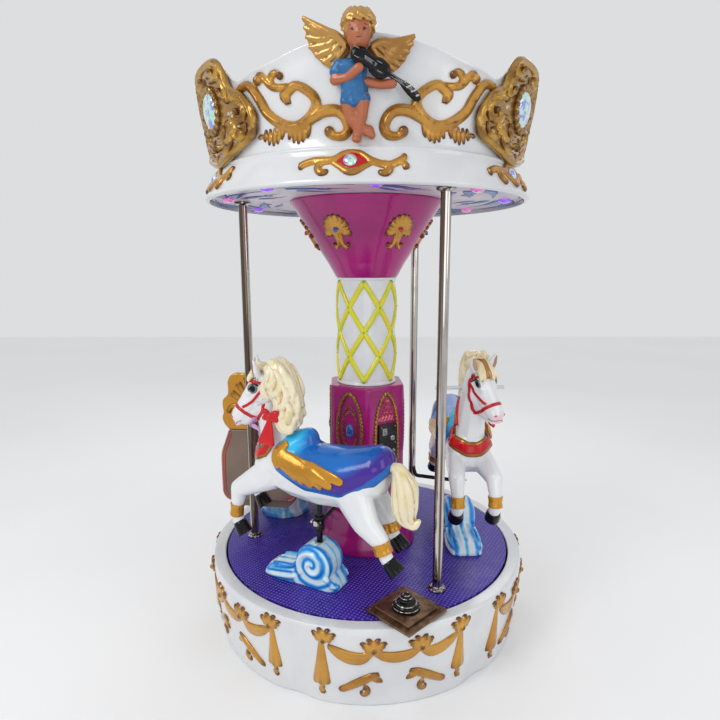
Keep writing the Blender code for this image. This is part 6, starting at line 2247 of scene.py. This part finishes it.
# %% Rods
handle_rows = [(0, 0.135), (0.0062, 0.135), (0.0075, 0.132), (0.0075, 0.02), (0.0075, -0.132),
               (0.0062, -0.135), (0, -0.135)]
handle_mesh = lathed("handle", handle_rows, 40)
handle_mesh.transform(Matrix.Translation((0.145, 0, 0.985)) @ Matrix.Rotation(math.radians(90), 4, "X"))
rod_rows = eased([(0, 0.640), (0.011, 0.640), (0.011, 0.560), (0.019, 0.556), (0.019, 0.548),
                  (0.0165, 0.545), (0.0165, 0.517), (0.019, 0.514), (0.019, 0.506), (0.011, 0.500),
                  (0.011, 0.350), (0, 0.350)], 0.001)
for number in (1, 2):
    horse_piece("handle_bar", handle_mesh, WHITE, number, [f"horse_{number}_handle"],
                sharp=50)
    rod_mesh = lathed("rod", rod_rows, 48)
    rod_mesh.transform(Matrix.Translation((ROD_OFFSET, 0, 0)))
    bar = bmesh.new()
    bar.from_mesh(rod_mesh)
    lock(bar, [(ROD_OFFSET, 0.020, 0.530, 0.0080), (ROD_OFFSET, -0.060, 0.541, 0.0080),
               (ROD_OFFSET, -0.150, 0.554, 0.0080), (ROD_OFFSET, -0.182, 0.560, 0.0080),
               (ROD_OFFSET, -0.192, 0.578, 0.0080), (ROD_OFFSET, -0.196, 0.600, 0.0078)], sides=24)
    horse_piece("lift_rod", mesh_from(bar, "lift_rod"), BLACK, number, [f"horse_{number}_lift_rod"],
                sharp=50)
    clamp = bmesh.new()
    slab(clamp, (ROD_OFFSET - 0.013, 0.012, 0.522), (ROD_OFFSET + 0.012, 0.024, 0.542), 0.002)
    for spot in ((-0.012, 0.0), (0.016, 0.006)):
        lock(clamp, [(ROD_OFFSET + spot[0], 0.014, 0.536 + spot[1], 0.0042),
                     (ROD_OFFSET + spot[0], 0.031, 0.536 + spot[1], 0.0042)], sides=12)
    horse_piece("clamp", mesh_from(clamp, "clamp"), CHROME, number, sharp=40)
print("rods and handles done")

# %% [markdown]
# ## Carriage
# Behind the horses a low carriage seats a smaller child: a curved cream tub with a bench, a high
# back and a gold crest cut like a shell. The tub follows the deck's curve, so it is swept round
# the axis with a hollow section that changes from foot well to bench.

# %% Carriage tub
INNER, OUTER = 0.320, 0.612
TUB_LOW, TUB_RIM = 0.400, 0.525
TUB_FRONT, SEAT_FRONT, BACK_AZIMUTH = 200.0, 237.0, 265.5
SEAT_HEIGHT = 0.490
WALL = 0.015
tub_end = BACK_AZIMUTH - 2.2
tub = bmesh.new()
stations = []
station = TUB_FRONT
while station < tub_end:
    stations.append(station)
    station += 0.75
stations.append(tub_end)


def tub_section(azimuth):
    """The tub's section: outer skin, rolled rim and the floor inside, as (radius, height)."""
    close = min(1.0, (azimuth - TUB_FRONT) / 9.0)
    nose = math.sqrt(max(0.0, 1 - (1 - close) ** 2))
    low = TUB_LOW + 0.030 * (1 - nose)
    inner = INNER + 0.035 * (1 - nose)
    outer = OUTER - 0.035 * (1 - nose)
    rise = 0.5 - 0.5 * math.cos(math.pi * min(1, max(0, (azimuth - SEAT_FRONT + 1.0) / 2.0)))
    floor = TUB_LOW + WALL + (SEAT_HEIGHT - TUB_LOW - WALL) * rise
    if azimuth < TUB_FRONT + 3:
        floor = TUB_RIM - 0.004
    return eased([
        (inner + 0.03, low), (outer - 0.03, low), (outer, low + 0.03), (outer, TUB_RIM),
        (outer - WALL, TUB_RIM), (outer - WALL, floor), (inner + WALL, floor), (inner + WALL, TUB_RIM),
        (inner, TUB_RIM), (inner, low + 0.03), (inner + 0.0301, low),
    ], 0.006, 3)


sections = [[on_ring(radius, azimuth, height) for radius, height in tub_section(azimuth)]
            for azimuth in stations]
tube(tub, sections)
bmesh.ops.recalc_face_normals(tub, faces=tub.faces)
tub_mesh = mesh_from(tub, "tub")
laid_over(CREAM, recesses(CREAM, 0.40, 0.49), (0.24, 0.13, 0.08))
piece("carriage_tub_shell", tub_mesh, CREAM, "turntable", ["carriage_tub"], sharp=40)
print("tub:", len(tub_mesh.polygons), "faces")

# %% [markdown]
# The back and the crest stand in one upright plane. Both are cut out flat, filled with a fine grid
# by a voxel remesh, and smoothed, so that their edges roll.

# %% Carriage back and crest
MIDDLE = (INNER + OUTER) / 2
BACK_THICKNESS = 0.030
CREST_SEAM = 0.762
BACK_HALF = [(0.124, 0.439), (0.148, 0.447), (0.163, 0.470), (0.166, 0.500), (0.166, 0.630), (0.160, 0.670),
             (0.146, 0.710), (0.127, CREST_SEAM)]
CREST_HALF = [(0.127, CREST_SEAM + GAP), (0.148, 0.790), (0.154, 0.815), (0.148, 0.838), (0.152, 0.866),
              (0.148, 0.894), (0.128, 0.915), (0.124, 0.940), (0.126, 0.968), (0.114, 0.996),
              (0.090, 1.010), (0.060, 1.008), (0.040, 1.018), (0.016, 1.026), (0, 1.026)]


def pillowed(name, half):
    """Half of a flat outline, mirrored and made into a slab with softly rounded edges."""
    right = spline(half, 4)
    left = [(-x, z) for x, z in reversed(right) if x > 1e-6]
    return moulded(name, prism(right + left, BACK_THICKNESS / 2), 0.004, 6)


radial = Matrix.Rotation(math.radians(BACK_AZIMUTH - 90), 4, "Z") @ Matrix.Translation((MIDDLE, 0, 0))
back_mesh = pillowed("carriage_back", BACK_HALF)
crest_mesh = pillowed("carriage_crest", CREST_HALF)
back_mesh.transform(radial)
piece("carriage_back_panel", back_mesh, CREAM, "turntable", ["carriage_back"])
crest_mesh.transform(radial)
piece("carriage_shell_crest", crest_mesh, WING_GOLD, "turntable", ["carriage_crest"])
print("back and crest:", len(back_mesh.polygons), "and", len(crest_mesh.polygons), "faces")

# %% [markdown]
# Both sides of the crest carry a fan of ribs with a beaded edge, and the back has a rolled border
# with a thin red line inside it. They are strokes again, drawn flat and moved into the back's
# plane.

# %% Crest ribs and back trim
def both_faces(name, body, look, voxel, lift):
    """A flat drawing put on the front and the rear of the back's plane."""
    drawing = moulded(name, body, voxel, 2)
    for number, turn in enumerate((0.0, 180.0)):
        laid = drawing.copy()
        for vertex in laid.vertices:
            vertex.co.y = -(lift + max(vertex.co.y, -0.002))
        laid.transform(Matrix.Rotation(math.radians(turn), 4, "Z"))
        laid.transform(radial)
        piece(f"{name}_{number + 1}", laid, look, "turntable")


FAN_MIDDLE = 0.835
BACK_MIDDLE = 0.60
board = bmesh.new()
for rib in range(9):
    turn = math.radians(14 + 152 * rib / 8)
    reach = 0.118 if rib in (0, 8) else 0.165
    tip = (0.78 * reach * math.cos(turn), FAN_MIDDLE + reach * math.sin(turn) * 1.02)
    halfway = (tip[0] * 0.55, FAN_MIDDLE + (tip[1] - FAN_MIDDLE) * 0.55)
    stroke(board, [(0.02 * math.cos(turn), FAN_MIDDLE, 0.005), (*halfway, 0.012), (*tip, 0.016)],
           height=0.7)
for side in (-1, 1):
    stroke(board, curl((side * 0.086, 0.838), 0.040, 90 - side * 90, side * 1.1, 0.012), height=0.9)
    stroke(board, [(side * 0.10, 0.784, 0.006), (side * 0.05, 0.800, 0.011), (0, 0.808, 0.012)], height=0.8)
ball(board, (0, 0.0, FAN_MIDDLE), (0.024, 0.012, 0.024))
both_faces("crest_fan", board, WING_GOLD, 0.003, BACK_THICKNESS / 2 - 0.002)
line = bmesh.new()
for side in (-1, 1):
    stroke(line, [(side * (x * 0.90), BACK_MIDDLE + (z - BACK_MIDDLE) * 0.90, 0.0028) for x,
                  z in BACK_HALF], height=0.9)
both_faces("back_red_line", line, RED, 0.0016, BACK_THICKNESS / 2 - 0.0006)
edge = bmesh.new()
for side in (-1, 1):
    stroke(edge, [(side * x * 0.972, BACK_MIDDLE + (z - BACK_MIDDLE) * 0.972, 0.0050) for x,
                  z in BACK_HALF], height=0.9)
both_faces("back_border", edge, ROSE_GOLD, 0.0022, BACK_THICKNESS / 2 - 0.0015)

drum_rows = eased([(0, 0.3997), (0.085, 0.3997), (0.092, 0.370), (0.101, 0.340), (0.110, 0.318),
                   (0.112, ON_DECK), (0, ON_DECK)], 0.004)
drum = lathed("drum", drum_rows, 120,
              lambda r, a, h: r * (1 + 0.02 * math.cos(math.radians(a * 9 + (h - 0.3) * 900)) * (r > 0.05)))
spot = on_ring(MIDDLE, SEAT_FRONT)
drum.transform(Matrix.Translation((spot.x, spot.y, 0)))
DRUM_PAINT = gelcoat("drum_streaks", (0.66, 0.74, 0.80), (0.56, 0.70, 0.82), (0.12, 0.22))
laid_over(DRUM_PAINT, fade(DRUM_PAINT, noise(DRUM_PAINT, 16.0, 2.0, (1, 1, 0.35)), 0.46, 0.54),
          (0.08, 0.42, 0.72))
laid_over(DRUM_PAINT, fade(DRUM_PAINT, noise(DRUM_PAINT, 16.0, 2.0, (1, 1, 0.35)), 0.55, 0.62),
          (0.01, 0.20, 0.60))
piece("carriage_drum", drum, DRUM_PAINT, "turntable", ["carriage_plinth"], sharp=60)
print("carriage done")

# %% [markdown]
# ## Floor, light and camera
# The floor is a plain pale sheet. Light comes from a large soft box over the camera's left, weaker
# ones on the right, low in front and behind, and a pale world, as in a catalogue studio, so the
# gelcoat shows broad highlights. The camera stands where the photographer stood.

# %% Studio
floor_mesh = bmesh.new()
bmesh.ops.create_grid(floor_mesh, x_segments=8, y_segments=8, size=9,
                      matrix=Matrix.Translation((0, 0, -0.0005)))
floor = bpy.data.objects.new("floor_sheet", mesh_from(floor_mesh, "floor_sheet"))
SCENE.collection.objects.link(floor)
FLOOR = plain_finish("pale_floor", (0.92, 0.92, 0.92), {})
laid_over(FLOOR, fade(FLOOR, noise(FLOOR, 0.7, 2.0), 0.4, 0.7), (0.90, 0.90, 0.905))
roughened(FLOOR, 0.7, 0.85, 3.0)
floor.data.materials.append(FLOOR)

world = bpy.data.worlds.new("studio")
SCENE.world = world
world.use_nodes = True
world.node_tree.nodes["Background"].inputs["Color"].default_value = (0.97, 0.985, 1.0, 1)
world.node_tree.nodes["Background"].inputs["Strength"].default_value = 0.74


def soft_box(name, place, aim, size, watts):
    lamp = bpy.data.lights.new(name, "AREA")
    lamp.shape = "RECTANGLE"
    lamp.size, lamp.size_y = size
    lamp.energy = watts
    made = bpy.data.objects.new(name, lamp)
    SCENE.collection.objects.link(made)
    made.location = place
    made.rotation_euler = (Vector(aim) - Vector(place)).to_track_quat("-Z", "Y").to_euler()
    return made


lamps = [
    soft_box("key_box", (-2.6, -2.8, 3.6), (0, 0, 1.1), (1.6, 2.2), 58),
    soft_box("fill_box", (3.2, -2.2, 2.2), (0, 0, 1.0), (1.4, 2.4), 16),
    soft_box("low_front", (0.3, -3.6, 1.3), (0, 0, 1.0), (2.0, 1.2), 9),
    soft_box("back_box", (0.5, 3.0, 3.0), (0, 0, 1.2), (2.5, 1.5), 18),
]

LENS_PIXELS = 549.45
FRAME_PIXELS = 720
view = bpy.data.cameras.new("photographer")
view.sensor_width = 36
view.lens = 36 * LENS_PIXELS / FRAME_PIXELS
camera = bpy.data.objects.new("photographer", view)
SCENE.collection.objects.link(camera)
right = Vector((0.999930, 0.011548, -0.002503))
up = Vector((0.000500, 0.170314, 0.985390))
forward = Vector((-0.011806, 0.985322, -0.170297))
camera.matrix_world = Matrix.Translation((0, -2.2398, 1.4579)) @ Matrix((
    (right.x, up.x, -forward.x), (right.y, up.y, -forward.y), (right.z, up.z, -forward.z),
)).to_4x4()
SCENE.camera = camera
SCENE.view_settings.view_transform = "Standard"
print(f"lens {view.lens:.2f} mm")
